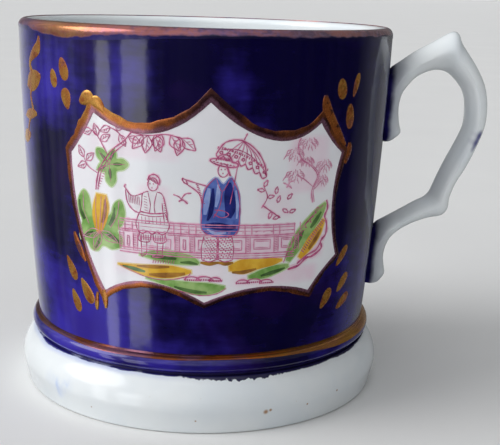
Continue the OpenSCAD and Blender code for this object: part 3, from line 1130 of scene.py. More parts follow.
# %% [markdown]
# ## Side sprig
# Opposite the handle a wavy stem swells into leaves. It is drawn as a path whose half width changes,
# once on each side of the middle, with three petals between.

# %% Side sprig
SPRIG = -90
# Strokes: angle from the sprig's middle, height, and half width of the brush
SPRIG_STEMS = (
    ((35.2, 79.8, 0.3), (34.8, 78.3, 0.9), (33.8, 77.1, 1.3), (31.2, 76.0, 1.1), (28.9, 74.8, 0.7),
     (28.1, 73.6, 0.6), (28.8, 72.4, 0.8), (29.8, 71.4, 1.0)),
    ((29.0, 69.4, 0.7), (27.4, 67.4, 0.45), (27.8, 66.1, 0.4), (28.4, 64.9, 0.45), (29.2, 63.6, 0.5)),
    ((26.5, 62.6, 0.5), (24.5, 61.0, 0.4), (23.4, 59.8, 0.4), (22.6, 58.4, 0.4)),
)
SPRIG_LEAVES = (
    ((35.4, 71.7, 0.3), (33.4, 71.2, 1.5), (30.0, 70.4, 2.2), (27.0, 69.6, 1.7), (24.8, 69.0, 0.3)),
    ((31.8, 63.4, 0.3), (29.4, 63.4, 0.9), (26.0, 63.0, 1.15), (22.8, 62.6, 0.8), (20.9, 62.3, 0.2)),
    ((25.2, 58.6, 0.3), (23.2, 58.3, 1.1), (20.0, 57.7, 1.5), (17.6, 57.2, 1.0), (16.4, 57.0, 0.2)),
)
SPRIG_PETALS = (
    (7.2, 74.3, -22, 4.6, 2.4, 0.3), (5.8, 65.2, -16, 5.0, 2.6, 0.3), (7.2, 54.9, -20, 4.6, 2.4, 0.3),
)


def brush_path(rows, mirror=1, size=1):
    """Outline of a stroke whose half width changes along it, in the flat drawing's millimetres."""
    spine = smooth(rows, 4)
    left, right = [], []
    for i, spot in enumerate(spine):
        ahead = spine[min(i + 1, len(spine) - 1)].xy - spine[max(i - 1, 0)].xy
        side = Vector((-ahead.y, ahead.x)).normalized() * max(spot.z, 0.1) * size
        left.append(spot.xy + side)
        right.append(spot.xy - side)
    return [(mirror * p.x, p.y) for p in left + right[::-1]]


def on_side(row):
    return [(*to_drawing(angle, height), half) for angle, height, half in row]


def side_sprig():
    shapes = []
    for mirror in (1, -1):
        shapes += [partial(brush_path, on_side(row), mirror) for row in SPRIG_STEMS + SPRIG_LEAVES]
        shapes += [partial(petal, mirror * angle, height, mirror * tilt, *shape)
                   for angle, height, tilt, *shape in SPRIG_PETALS]
    return touches("side_lustre_sprig", shapes, PETAL_RISE, SPRIG)


settle(side_sprig(), petal_lustre, "copper_lustre", "side_sprig")

# %% [markdown]
# ## Strokes at the cusps
# The brush that drew a border stopped and started at some of its cusps and left thick drops and tails
# there, golden on the left and brown on the right. They are touches like the petals, with a higher dome.

# %% Border strokes
STROKE_RISE = 0.19
# Where the brush started or stopped at a cusp: arc from the panel's middle, height over it, half width
GOLD_STROKES = (
    ((-26.6, 18.8, 0.5), (-25.8, 19.3, 1.2), (-24.7, 19.8, 1.6), (-23.6, 19.3, 1.1), (-22.5, 19.1, 1.3),
     (-21.4, 18.2, 0.9), (-20.6, 17.2, 0.3)),
    ((-21.1, -19.8, 0.5), (-20.9, -21.4, 0.8), (-20.7, -22.8, 0.6), (-20.6, -23.8, 0.3)),
    ((-22.7, -20.6, 0.3), (-22.9, -22.2, 0.5), (-23.0, -23.6, 0.55), (-22.9, -24.6, 0.25)),
)
BROWN_STROKES = (
    ((25.4, 21.6, 0.4), (25.6, 20.2, 1.0), (26.2, 18.2, 1.3), (27.7, 15.9, 1.2), (29.4, 13.8, 1.0),
     (31.8, 11.0, 0.5)),
    ((33.4, 11.4, 0.4), (33.5, 10.2, 0.8), (33.0, 8.6, 0.8), (32.2, 7.0, 0.3)),
    ((-28.9, -8.4, 0.3), (-28.4, -10.0, 0.7), (-27.2, -12.2, 0.8), (-25.8, -14.4, 0.3)),
)
for side, turn in SIDES.items():
    for tone, rows, material in (
            ("gold", GOLD_STROKES, petal_lustre), ("brown", BROWN_STROKES, brown_lustre)):
        shapes = [partial(brush_path, row) for row in rows]
        settle(touches(f"{side}_{tone}_strokes", shapes, STROKE_RISE, turn), material, "copper_lustre")

# %% [markdown]
# ## Handle
# The handle was pressed in a two-part mould, so its section is a soft lozenge with a ridge along each
# side. It is a loft through sections between an outer and an inner curve: up from the upper root, over
# the thumb spur, round the arch to the elbow, and down to the lower root. Near the wall the sections
# swell a little, where the slip was smoothed. Each row gives the outer edge, then the inner edge, as
# shares of the reach from the wall and of the handle's height, and last the share of the width.

# %% Handle sections
HANDLE_REACH = 24.98 * MM
HANDLE_SIDES = 24
HANDLE_RIDGE = 1.28
HANDLE_STEPS = 3
ROOT_FLARE = 1.8 * MM
ROOT_SWELL = 0.14
# Share of the section and drop in millimetres of the rings that round off each end
UPPER_TIP = ((0.0, 0.55), (0.45, 0.5), (0.8, 0.3))
LOWER_TIP = ((0.85, 0.0), (0.5, 0.0), (0.0, 0.0))
HANDLE_SHARES = (
    (-0.060, 0.580, 0.125, 0.575, 0.80), (-0.060, 0.603, 0.193, 0.603, 1.00),
    (-0.060, 0.640, 0.171, 0.640, 1.00), (-0.060, 0.700, 0.151, 0.700, 1.00),
    (-0.050, 0.780, 0.170, 0.753, 0.98), (0.026, 0.847, 0.223, 0.790, 0.96),
    (0.132, 0.882, 0.288, 0.820, 0.94), (0.269, 0.923, 0.371, 0.840, 0.93),
    (0.411, 0.957, 0.450, 0.850, 0.92), (0.545, 0.990, 0.514, 0.850, 0.92),
    (0.610, 0.999, 0.556, 0.846, 0.92), (0.655, 0.989, 0.588, 0.839, 0.92),
    (0.684, 0.960, 0.622, 0.828, 0.92),
    (0.740, 0.928, 0.674, 0.807, 0.92), (0.844, 0.870, 0.728, 0.778, 0.92),
    (0.942, 0.798, 0.763, 0.743, 0.92), (0.989, 0.718, 0.780, 0.693, 0.92),
    (0.990, 0.637, 0.778, 0.637, 0.92), (0.942, 0.563, 0.725, 0.573, 0.90),
    (0.860, 0.473, 0.646, 0.497, 0.88), (0.778, 0.405, 0.583, 0.427, 0.86),
    (0.738, 0.345, 0.546, 0.380, 0.85), (0.736, 0.305, 0.520, 0.360, 0.85),
    (0.685, 0.275, 0.478, 0.345, 0.85), (0.551, 0.263, 0.397, 0.327, 0.85),
    (0.395, 0.238, 0.274, 0.295, 0.87), (0.272, 0.205, 0.135, 0.260, 0.90),
    (0.199, 0.165, 0.040, 0.233, 0.95), (0.173, 0.110, -0.060, 0.160, 0.98),
    (0.194, 0.060, -0.060, 0.080, 1.00), (0.208, 0.030, -0.060, 0.033, 1.00),
    (0.166, 0.000, -0.060, 0.005, 0.80),
)

handle_low, handle_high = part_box("handle")
handle_h = handle_high[2] - handle_low[2]
handle_w = handle_high[1] - handle_low[1]


def handle_point(reach, height):
    z = handle_low[2] + height * handle_h
    return Vector((wall_r(z) + reach * HANDLE_REACH, 0, z))


def eased(value):
    return math.copysign(abs(value) ** HANDLE_RIDGE, value)


def handle_ring(section, size=1.0):
    outer = handle_point(*section[:2])
    inner = handle_point(*section[2:4])
    depth = (outer - inner) / 2 * size
    width = Vector((0, section[4] * handle_w / 2 * size, 0))
    ring = []
    for k in range(HANDLE_SIDES):
        turn = math.tau * k / HANDLE_SIDES
        point = (outer + inner) / 2 + depth * eased(math.cos(turn)) + width * eased(math.sin(turn))
        over = math.hypot(point.x, point.y) - wall_r(point.z)
        point.y *= 1 + ROOT_SWELL * max(0.0, 1 - max(over, 0) / ROOT_FLARE) ** 2
        ring.append(point)
    return ring


def handle_tip(section, rings):
    return [[p - Vector((0, 0, drop * MM)) for p in handle_ring(section, size)] for size, drop in rings]


def handle_rings():
    sections = smooth(HANDLE_SHARES, HANDLE_STEPS)
    strap = [handle_ring(section) for section in sections]
    return handle_tip(sections[0], UPPER_TIP) + strap + handle_tip(sections[-1], LOWER_TIP)


print("handle has", len(HANDLE_SHARES), "sections")

# %% [markdown]
# The handle is white, but the cobalt brush touched it: a blue edge runs along both roots where they meet
# the wall, and there is a smudge on the outside of the arch. A grey painted shade darkens the handle near
# the wall, where the body shades its roots. The finish measures how far a point stands off the wall, with
# the same formula as the wall itself.

# %% Handle finish
ROOT_SHADE = paint(0.16, 0.18, 0.24)
ROOT_BLUE = paint(0.02, 0.014, 0.14)
SMUDGE_BLUE = paint(0.035, 0.035, 0.20)
SMUDGE_Y = -3 * MM
# Where the blue brush touched: distance from the axis, height, reach and strength
HANDLE_SMUDGES = (
    (63.6, 58.8, 2.0, 0.95), (62.9, 57.2, 2.0, 0.95), (62.3, 55.8, 1.5, 0.7),
    (44.6, 23.2, 2.2, 0.35), (46.6, 34.9, 1.0, 0.2),
)


def handle_finish():
    finish = Finish("white_glaze_handle")
    colour, normal = white_glaze(finish)
    x, y, z = finish.axes()
    share = (z - crease_z) / (lip_z - crease_z)
    wall = wall_low_r + share * (rim_r - wall_low_r) + share * (1 - share) * (4 * WALL_SWELL)
    off_wall = (x * x + y * y) ** 0.5 - wall
    ragged = (finish.noise(6 * MM, 3) - 0.5) * (1.6 * MM)
    thin = finish.fade(finish.noise(4 * MM, 3), 0.35, 0.7)
    blue = finish.mix(thin, RUN_DEEP, ROOT_BLUE)
    # Painted shade: grey over the roots near the wall, where the body shades the handle.
    root_shade = finish.fade(off_wall + ragged, 6.2 * MM, 1.0 * MM)
    colour = finish.mix(root_shade * 0.7, colour, ROOT_SHADE)
    colour = finish.mix(finish.fade(off_wall + ragged, 2.3 * MM, 0.9 * MM), colour, blue)
    for out, height, reach, strength in HANDLE_SMUDGES:
        mark = finish.near((out * MM, SMUDGE_Y, height * MM), reach * MM, 0.7)
        colour = finish.mix(mark * strength, colour, SMUDGE_BLUE)
    return finish.surface(Base_Color=colour, Roughness=GLAZE_ROUGH, Normal=normal)


print("handle finish ready")

# %% [markdown]
# The rings and the finish now come together. One loft keeps the strap a single skin, as a pressed handle
# is, where joined pieces would show seams.

# %% Handle
handle = lofted("strap_handle", handle_rings())
clean(handle)
settle(handle, handle_finish(), "white_glaze", "handle")

# %% [markdown]
# ## Guard
# The guard is a shelf under the lip on the drinker's side. Its free edge has two lobes, and a half-moon
# slot at the wall lets the drink through. It is a flat outline of arcs, given its thickness. It runs a
# little into the wall, as slipped clay does, and its ends cover those of the slip. Only its free edges
# are rounded, so the bevel is given the level edges that lie clear of the wall.

# %% Guard
GUARD_LOBE_R = 17 * MM
GUARD_LOBE_RISE = 8 * MM
SIP_DEPTH = 9 * MM
SIP_R = 18 * MM
GUARD_BITE = 0.5 * MM
GUARD_COVER = 0.2 * MM
GUARD_EDGE_R = 0.75 * MM
GUARD_SPARE = 0.1 * MM

guard_low, guard_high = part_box("moustache_guard")


def guard_outline():
    """The guard's plan in millimetres, clockwise from the left end of its free edge."""
    wall = wall_r(guard_low[2]) - WALL_T
    bite = wall + GUARD_BITE
    edge_y = guard_high[1] - GUARD_LOBE_RISE + GUARD_COVER
    lobe_y = guard_high[1] - GUARD_LOBE_R
    reach = math.degrees(math.asin((edge_y - lobe_y) / GUARD_LOBE_R))
    slot_y = SIP_DEPTH - wall - SIP_R
    slot_cross = (slot_y ** 2 + bite ** 2 - SIP_R ** 2) / (2 * abs(slot_y))
    slot_turn = math.degrees(math.acos(slot_cross / bite))
    end_turn = math.degrees(math.asin(edge_y / bite))
    slot_reach = math.degrees(math.asin((bite * math.cos(math.radians(slot_turn)) + slot_y) / SIP_R))
    points = arc(-GUARD_LOBE_R, lobe_y, GUARD_LOBE_R, 180 - reach, reach, 32)
    points += arc(GUARD_LOBE_R, lobe_y, GUARD_LOBE_R, 180 - reach, reach, 32)
    points += arc(0, 0, bite, end_turn, -90 + slot_turn, 32)
    points += arc(0, slot_y, SIP_R, -slot_reach, 180 + slot_reach, 24)
    points += arc(0, 0, bite, -90 - slot_turn, -180 - end_turn, 32)
    return [(x / MM, y / MM) for x, y in points]


def guard_piece():
    thick = guard_high[2] - guard_low[2] + GUARD_SPARE
    piece = filled("lip_guard", [guard_outline()], thick)
    for vertex in piece.data.vertices:
        vertex.co.z += (guard_high[2] + guard_low[2]) / 2
    edit(piece)
    bpy.ops.mesh.dissolve_limited(angle_limit=math.radians(1))
    bpy.ops.mesh.select_all(action="DESELECT")
    bpy.ops.mesh.select_mode(type="EDGE")
    mesh = bmesh.from_edit_mesh(piece.data)
    free_r = wall_r(guard_low[2]) - WALL_T + GUARD_BITE / 2
    for side in mesh.edges:
        start, end = (corner.co for corner in side.verts)
        level = abs(start.z - end.z) < GUARD_BITE
        side.select = level and ((start + end) / 2).xy.length < free_r
    bmesh.update_edit_mesh(piece.data)
    bpy.ops.mesh.bevel(offset=GUARD_EDGE_R, segments=4, clamp_overlap=False)
    bpy.ops.mesh.select_mode(type="VERT")
    clean(piece)
    return piece


settle(guard_piece(), body_white, "white_glaze", "moustache_guard")

# %% [markdown]
# ## Slip
# The joints are filled with slip, the same clay thinned with water. The CAD solids of the joints keep
# their shape and only get a finish: pale, a little rough, and stained blue where the cobalt was
# brushed over the joint.

# %% Slip
SLIP_DARK = paint(0.60, 0.61, 0.60)
SLIP_PALE = paint(0.72, 0.73, 0.72)
SLIP_BLUE = paint(0.03, 0.018, 0.2)


def slip_finish(name, stain):
    """Pale slip, or slip with a blue stain whose spread is given."""
    finish = Finish(name)
    tint = finish.noise(2 * MM, 3)
    colour = finish.mix(tint, SLIP_DARK, SLIP_PALE)
    if stain:
        blue = finish.mix(tint, COBALT_DEEP, SLIP_BLUE)
        colour = finish.mix(finish.fade(tint, 0.9 - stain, 0.7 - stain), blue, colour)
    normal = finish.bump(tint, 0.03 * MM)
    return finish.surface(Base_Color=colour, Roughness=0.25 + tint * 0.2, Normal=normal)


plain_slip = slip_finish("slip_plain", 0)
stained_slip = slip_finish("slip_stained", 0.6)
SLIPS = {
    "foot_slip": stained_slip, "upper_handle_slip": stained_slip,
    "lower_handle_slip": stained_slip, "guard_slip": plain_slip,
}
for node, material in SLIPS.items():
    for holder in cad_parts[node].material_slots:
        holder.material = material
    print(node, "keeps its CAD shape with", material.name)

# %% [markdown]
# ## Ink and enamel
# The print is a pink transfer with a few enamel colours dabbed over it by hand. The lines are thin
# curves with a flat section, so they lie in the glaze like ink, over a wider, paler bleed. The dabs are
# filled outlines, and three colours have a pale wash round them. Neither ink nor enamel is even, so each
# drifts between a thin and a thick tone.

# %% Ink and enamel finishes
INK_W = 0.23 * MM
INK_LIFT = glaze_t + 0.07 * MM
INK_FLAT = 0.4
BLEED_W = 0.62 * MM
BLEED_LIFT = glaze_t + 0.006 * MM
BLEED_FLAT = 0.06
DAB_T = 0.05 * MM
DAB_LIFT = glaze_t + 0.012 * MM
DAB_STEP = 0.006 * MM


def enamel_finish(name, thin, thick, grain):
    finish = Finish(name)
    load = finish.fade(finish.noise(grain * MM, 3, rough=0.55), 0.30, 0.70)
    colour = finish.mix(load, thin, thick)
    normal = finish.bump(load, 0.02 * MM)
    return finish.surface(Base_Color=colour, Roughness=0.14 + load * 0.08, Normal=normal)


def palette(kind, tones, grain=3.0):
    """One finish for each name, between a thin and a thick tone."""
    return {name: enamel_finish(f"{kind}_{name}", paint(*thin), paint(*thick), grain)
            for name, (thin, thick) in tones.items()}


INKS = palette("ink", {
    "deep": ((0.60, 0.16, 0.31), (0.38, 0.045, 0.15)),
    "pale": ((0.72, 0.31, 0.47), (0.55, 0.14, 0.28)),
}, 1.6)
BLEED = palette("ink", {"bleed": ((0.80, 0.64, 0.73), (0.79, 0.53, 0.65))}, 4.0)["bleed"]
# In the order in which they are laid on, so that the later ones lie over the others
ENAMELS = palette("enamel", {
    "white": ((0.80, 0.79, 0.82), (0.72, 0.68, 0.73)),
    "leaf": ((0.35, 0.52, 0.19), (0.15, 0.33, 0.065)),
    "yellow": ((0.75, 0.46, 0.05), (0.62, 0.31, 0.018)),
    "blue": ((0.12, 0.19, 0.54), (0.05, 0.085, 0.36)),
    "moss": ((0.12, 0.23, 0.07), (0.05, 0.10, 0.03)),
    "ochre": ((0.46, 0.23, 0.04), (0.24, 0.10, 0.025)),
    "sky": ((0.42, 0.50, 0.76), (0.22, 0.30, 0.64)),
    "navy": ((0.022, 0.03, 0.22), (0.008, 0.012, 0.11)),
})
# Pale tones that the dabs fade to round their edges
WASHES = palette("wash", {
    "leaf": ((0.60, 0.69, 0.48), (0.48, 0.61, 0.34)),
    "yellow": ((0.82, 0.70, 0.42), (0.77, 0.58, 0.24)),
    "blue": ((0.50, 0.55, 0.75), (0.33, 0.39, 0.66)),
})
WASH_W = 0.26


def washed(outline):
    """A dab's outline, a little wider all round."""
    points = [Vector(point) for point in outline]
    area = sum(a.x * b.y - a.y * b.x for a, b in zip(points, points[1:] + points[:1]))
    points = points[::-1] if area > 0 else points
    return [point + step * WASH_W for point, step in zip(points, outward(points))]


def inked(name, strokes, wide):
    """Thin curves through flat points, in millimetres, each with its own weight."""
    curve = bpy.data.curves.new(name, "CURVE")
    curve.dimensions = "3D"
    curve.twist_mode = "Z_UP"
    curve.bevel_depth = wide / 2
    curve.bevel_resolution = 0
    curve.use_fill_caps = True
    for points, weight in strokes:
        spline = curve.splines.new("POLY")
        spline.points.add(len(points) - 1)
        for i, (point, (x, y)) in enumerate(zip(spline.points, points)):
            point.co = (x * MM, y * MM, 0, 1)
            pressure = 0.6 if i in (0, len(points) - 1) else 0.9 + 0.25 * math.sin(1.7 * i + x)
            point.radius = weight * pressure
    return made_mesh(curve)


print(len(INKS), "inks,", len(ENAMELS), "enamels and", len(WASHES), "washes ready")

# %% [markdown]
# ## Print: a vocabulary
# Garden scenes like this were stock subjects of printed pottery. The drawing here is a small
# vocabulary of strokes: leaves, twigs, clouds of needles, a fence, a parasol, robed figures with plain
# faces. Every motif is a function that adds strokes to one list of ink and dabs to one list per enamel.

# %% Print strokes
GOLDEN_TURN = 2.4


def heading(turn):
    """A step of one unit in a direction in degrees."""
    return Vector((math.cos(math.radians(turn)), math.sin(math.radians(turn))))


class Drawing:
    """Ink strokes and enamel dabs on the flat reserve, in millimetres."""

    def __init__(self, x=0.0, y=0.0, flip=1, tone="deep"):
        self.origin = (x, y, flip)
        self.tone = tone
        self.ink = {name: [] for name in INKS}
        self.dabs = {name: [] for name in ENAMELS}

    def at(self, x, y, flip=1, tone="deep"):
        """The same drawing with its origin elsewhere, perhaps mirrored or in the other ink."""
        moved = Drawing(x, y, flip, tone)
        moved.ink, moved.dabs = self.ink, self.dabs
        return moved

    def put(self, points):
        x, y, flip = self.origin
        return [(x + flip * px, y + py, *rest) for px, py, *rest in points]

    def line(self, *points, weight=0.9, steps=4):
        longest = max(math.dist(a, b) for a, b in zip(points, points[1:]))
        self.ink[self.tone].append((smooth(self.put(points), max(steps, math.ceil(longest))), weight))

    def lines(self, weight, *strokes):
        for points in strokes:
            self.line(*points, weight=weight)

    def dab(self, colour, *points):
        self.dabs[colour].append(smooth(self.put(points), 4, closed=True))

    def brush(self, colour, *strokes):
        """Dabs like brush strokes, each a row of points with half widths."""
        for rows in strokes:
            self.dabs[colour].append(brush_path(self.put(rows)))

    def ring(self, x, y, wide, high, start=0, end=360, weight=0.9, lean=0):
        turns = [math.radians(a) for a in spread(start, end, max(6, int(abs(end - start) / 24)))]
        spots = [Matrix.Rotation(lean, 2) @ Vector((wide * math.cos(a), high * math.sin(a))) for a in turns]
        self.ink[self.tone].append((self.put([(x + p.x, y + p.y) for p in spots]), weight))

    def hatch(self, start, end, reach, count, weight=0.6):
        """Short parallel strokes from places between two points."""
        for t in spread(0, 1, count - 1):
            x, y = (a + (b - a) * t for a, b in zip(start, end))
            self.line((x, y), (x + reach[0], y + reach[1]), weight=weight)

    def leaves(self, long, wide, weight, *stalks, veins=True):
        """Leaves of one size. A stalk gives its place and where its leaf points, in degrees."""
        for x, y, turn in stalks:
            base, ahead = Vector((x, y)), heading(turn)
            side = Vector((-ahead.y, ahead.x)) * wide / 2
            for edge in (side, -side):
                belly = base + ahead * long * 0.42 + edge
                self.line(base, belly, base + ahead * long, weight=weight, steps=5)
            if veins:
                self.line(base + ahead * long * 0.1, base + ahead * long * 0.85, weight=0.55)
                for spot in (base + ahead * long * share for share in (0.3, 0.5)):
                    self.line(spot, spot + ahead * long * 0.16 + side * 0.55, weight=0.45)

    def foliage(self, x, y, wide, high, count=26):
        """A cloud of short drooping strokes, scattered by the golden angle."""
        for k in range(count):
            r, turn = math.sqrt((k + 0.5) / count), k * GOLDEN_TURN
            px, py = x + wide * r * math.cos(turn), y + high * r * math.sin(turn)
            out = 0.9 * math.cos(turn) + 0.25 * math.sin(k * 1.7)
            self.line((px, py), (px + out * 0.6, py - 0.15), (px + out, py - 0.8), weight=0.5, steps=2)


print("drawing vocabulary ready")

# %% [markdown]
# The fence, the trees and the shrub set the garden. The fence is plain rails and posts. The tall shrub
# on the left has broad green leaves round a yellow stem. In every motif, points are millimetres from the
# motif's own origin, and the number after an enamel's points is half the brush's width.

# %% Garden motifs
# Direction and reach of the lobes of the green leaf
CLOVER = ((4, 4.3), (70, 3.3), (136, 4.2), (206, 3.2), (276, 4.6))
FENCE_POSTS = (-17.2, -14.2, -5.6, -2.6, 8.6, 14.6, 19.4)
# Height and weight of each rail
FENCE_RAILS = (
    (-4.1, 1.2), (-4.6, 0.7), (-5.3, 0.5), (-6.2, 1.2), (-6.6, 0.8), (-10.0, 1.2), (-10.5, 0.6), (-11.0, 1.0),
)
# Offset, top and bottom of the lines of a post
POST_LINES = ((0, -6.6, -10.1), (0.9, -6.6, -10.1), (-0.25, -4.2, -6.4), (1.15, -4.2, -6.4))


def fence(pen):
    left, right = FENCE_POSTS[0], FENCE_POSTS[-1]
    for height, weight in FENCE_RAILS:
        pen.line((left, height + 0.3), ((left + right) / 2, height), (right, height - 0.4), weight=weight)
    for post in FENCE_POSTS:
        pen.lines(0.9, *[((post + dx, top), (post + dx + 0.08, low)) for dx, top, low in POST_LINES])
        pen.hatch((post + 0.15, -6.9), (post + 0.15, -9.8), (0.6, 0.12), 9)
    for post, after in zip(FENCE_POSTS, FENCE_POSTS[1:]):
        a, b = post + 1.7, after - 0.8
        for inset, weight in ((0, 0.9), (0.35, 0.5)):
            pen.lines(weight, ((a + inset, -7.3 - inset), (b - inset, -7.4 - inset)),
                      ((a + inset, -9.3 + inset), (b - inset, -9.4 + inset)))
        pen.lines(0.8, ((a, -7.2), (a, -9.4)), ((b, -7.3), (b, -9.5)))
        pen.hatch((a + 0.2, -5.7), (b, -5.8), (0.55, 0.05), max(2, int((b - a) * 0.9)), 0.5)


def broad_shrub(pen):
    pen.dab("leaf", (-4.5, 7.6), (-6.0, 5.4), (-5.9, 3.0), (-4.9, 0.9), (-5.6, -0.8), (-5.4, -3.0),
            (-3.6, -3.3), (-2.6, -4.7), (-0.9, -4.9), (0.5, -3.6), (2.6, -4.1), (4.6, -3.3), (5.0, -1.6),
            (3.9, -0.1), (5.1, 1.6), (5.6, 4.0), (4.7, 6.4), (3.2, 5.6), (2.3, 3.4), (0.0, 1.4),
            (-2.2, 3.6), (-3.0, 6.4))
    pen.brush("yellow",
              ((0.1, 7.2, 1.2), (0.0, 4.9, 1.9), (-0.3, 2.4, 1.9), (-0.5, 0.0, 1.1), (-0.6, -1.2, 0.3)))
    pen.brush("ochre", ((1.0, 6.2, 0.2), (1.0, 3.8, 0.5), (0.3, 1.2, 0.3)))
    pen.brush("moss", ((-5.6, 5.4, 0.2), (-5.4, 3.4, 0.4), (-4.2, 1.4, 0.4)),
              ((3.3, 4.8, 0.15), (2.9, 2.6, 0.4), (2.0, 0.9, 0.3)),
              ((-2.0, -1.0, 0.2), (-3.6, -1.7, 0.4), (-5.0, -2.6, 0.2)),
              ((1.4, -0.9, 0.2), (3.0, -1.6, 0.45), (4.4, -2.4, 0.2)),
              ((-0.3, -2.2, 0.15), (-0.9, -3.4, 0.4), (-1.6, -4.4, 0.2)))
    for bend in (-1.2, 0.1, 1.2):
        pen.line((bend * 0.5 - 0.4, -0.6), (bend * 0.9 - 0.2, 3.2), (bend, 6.8), weight=0.6)
    pen.leaves(4.8, 2.0, 0.7, *[(-0.2, -0.6, turn) for turn in (200, 250, 335)])
    pen.lines(0.7, ((-3.0, 0.4), (-4.4, 3.4), (-4.5, 7.2)), ((2.2, 0.4), (3.8, 3.0), (4.3, 6.2)))


def leafy_tree(pen):
    """A thin tree that leans to the right, with big leaves along its branches."""
    pen.line((0, 0), (0.9, 4.2), (3.8, 8.4), (6.8, 10.8), (9.0, 13.6), weight=1.2)
    pen.line((0.5, 0), (1.5, 4.2), (4.3, 7.9), (7.2, 10.3))
    pen.hatch((0.2, 0.4), (3.4, 7.2), (0.6, -0.1), 14, 0.5)
    pen.lines(0.8, ((3.0, 7.4), (0.6, 11.0), (-1.0, 12.2)), ((6.8, 10.8), (5.0, 12.4), (3.0, 13.2)),
              ((8.2, 12.4), (11.6, 12.0), (15.2, 12.4), (18.4, 11.8)))
    pen.line((0.7, 3.4), (-1.8, 4.6), (-3.0, 6.4), weight=0.7)
    pen.leaves(2.7, 1.5, 0.75, (0.6, 11.0, 110), (-0.8, 12.0, 190), (1.2, 10.2, 30), (5.0, 12.4, 60),
               (3.6, 13.0, 200), (5.6, 11.8, 300), (7.6, 11.4, 340), (-3.0, 6.4, 120), (-2.2, 5.2, 200),
               (-2.4, 5.8, 40))
    pen.leaves(3.6, 2.2, 0.95, (10.6, 12.0, 232), (11.6, 12.0, 262), (13.0, 12.2, 290), (14.4, 12.3, 248),
               (16.2, 12.3, 300), (18.2, 11.8, 258), (18.4, 11.8, 318))


def green_leaf(pen):
    """A lobed leaf, drawn about its middle."""
    lobes = []
    for (turn, reach), (after, _) in zip(CLOVER, CLOVER[1:] + CLOVER[:1]):
        notch = turn + ((after - turn) % 360) / 2
        lobes += [heading(turn - 19) * 0.78 * reach, heading(turn) * reach, heading(turn + 19) * 0.78 * reach,
                  heading(notch) * 2.1]
    pen.dab("leaf", *lobes)
    for way in (heading(turn) for turn, _ in CLOVER):
        pen.brush("moss", [(*way * r, half) for r, half in ((0.9, 0.15), (1.8, 0.4), (2.9, 0.15))])
        pen.line((0, 0), way * 3.6, weight=0.5)


def feathery_tree(pen):
    """A crooked trunk with hanging foliage."""
    trunk = ((0, -0.6), (-0.4, 2), (0.9, 5.0), (-1.2, 7.4), (-3.4, 8.8), (-4.2, 11.6), (-3.6, 13.0))
    pen.line(*trunk, weight=1.1)
    pen.lines(0.7, [(x + 0.4, y + 0.1) for x, y in trunk[:4]], ((0.9, 5.0), (2.0, 6.4), (2.8, 7.2)))
    pen.line((-0.2, 2.8), (-2.6, 4.6), (-4.4, 5.4), weight=0.8)
    pen.line((0.2, 2.2), (1.8, 3.6), (2.4, 4.0), weight=0.6)
    for cloud in ((-1.6, 12.0, 1.9, 1.1), (-4.8, 10.0, 1.6, 1.3), (2.6, 7.2, 1.7, 1.2),
                  (-4.6, 5.6, 1.8, 1.2), (2.2, 4.2, 1.2, 1.0), (-2.0, 8.4, 1.4, 0.8)):
        pen.foliage(*cloud)


def bird(pen, size=1.0):
    for weight, points in (
            (0.8, ((-1.6, 0.9), (-0.5, 0.5), (0, 0))), (0.8, ((0, 0), (0.8, 1.1), (2.0, 1.3))),
            (1.2, ((-0.5, -0.5), (0.3, -0.1), (1.3, -0.9)))):
        pen.line(*[(x * size, y * size) for x, y in points], weight=weight)


def bough(pen):
    """A loose flowering twig over the fence."""
    pen.line((0, 0), (1.2, 2.2), (0.4, 4.4), weight=0.8)
    pen.line((0.2, 0.6), (2.8, -1.2), (4.2, -2.2), weight=1.2)
    pen.leaves(1.6, 0.7, 0.9, (0.4, 4.4, 60), (1.2, 2.2, 10), (0.6, 3.6, 170), (3.4, 1.0, 70),
               (5.6, 1.6, 45), (4.6, -0.4, 330), (2.2, -0.8, 250), (3.0, 2.8, 80), (6.2, -1.2, 20),
               (4.0, -1.8, 200), veins=False)


print("garden motifs ready")

# %% [markdown]
# The figures are as plain as pottery figures are: a wide robe, a hat and a parasol for the one, a
# short coat for the other, and faces of three dots.

# %% Figures
TROUSER_DOTS = 96
ROBE = (
    (-0.8, 16.9), (-2.9, 14.2), (-3.4, 9.0), (-3.0, 6.0), (0.2, 4.7), (3.6, 5.5), (4.2, 9.0), (3.9, 13.8),
    (2.4, 17.0),
)
ROBE_NECK = (0.8, 15.6)


def face(pen, long, *spots):
    pen.lines(0.8, *[((x, y), (x + long, y)) for x, y in spots])


def parasol(pen):
    rim = [(-3.4 + 10.2 * t, -0.2 - 1.5 * t - 3.1 * t ** 2) for t in spread(0, 1, 7)]
    pen.line(rim[0], (-1.6, 2.2), (1.6, 2.6), (4.6, 0.6), (6.4, -2.4), rim[-1], weight=1.2)
    pen.line((2.0, 2.6), (2.7, 4.0), weight=1.0)
    pen.line((-2.4, 0.7), (0.6, 0.8), (3.6, -0.6), (6.3, -3.4), weight=0.7)
    for (ax, ay), (bx, by) in zip(rim, rim[1:]):
        pen.line((ax, ay), ((ax + bx) / 2 - 0.15, (ay + by) / 2 - 0.75), (bx, by), weight=1.1)
        pen.line((bx, by), ((bx + 2) / 2 + 0.5, (by + 2.4) / 2 + 0.5), (2.0, 2.5), weight=0.6)
        pen.ring((ax + bx) / 2 + 0.3, (ay + by) / 2 + 0.5, 0.3, 0.25, weight=1.0)
        pen.hatch((ax + 0.3, ay + 1.1), (bx + 0.1, by + 1.2), (0.2, 0.5), 4, 0.9)
    pen.line((1.0, -1.6), (0.4, -5.6), (-0.4, -10.2), weight=0.8)


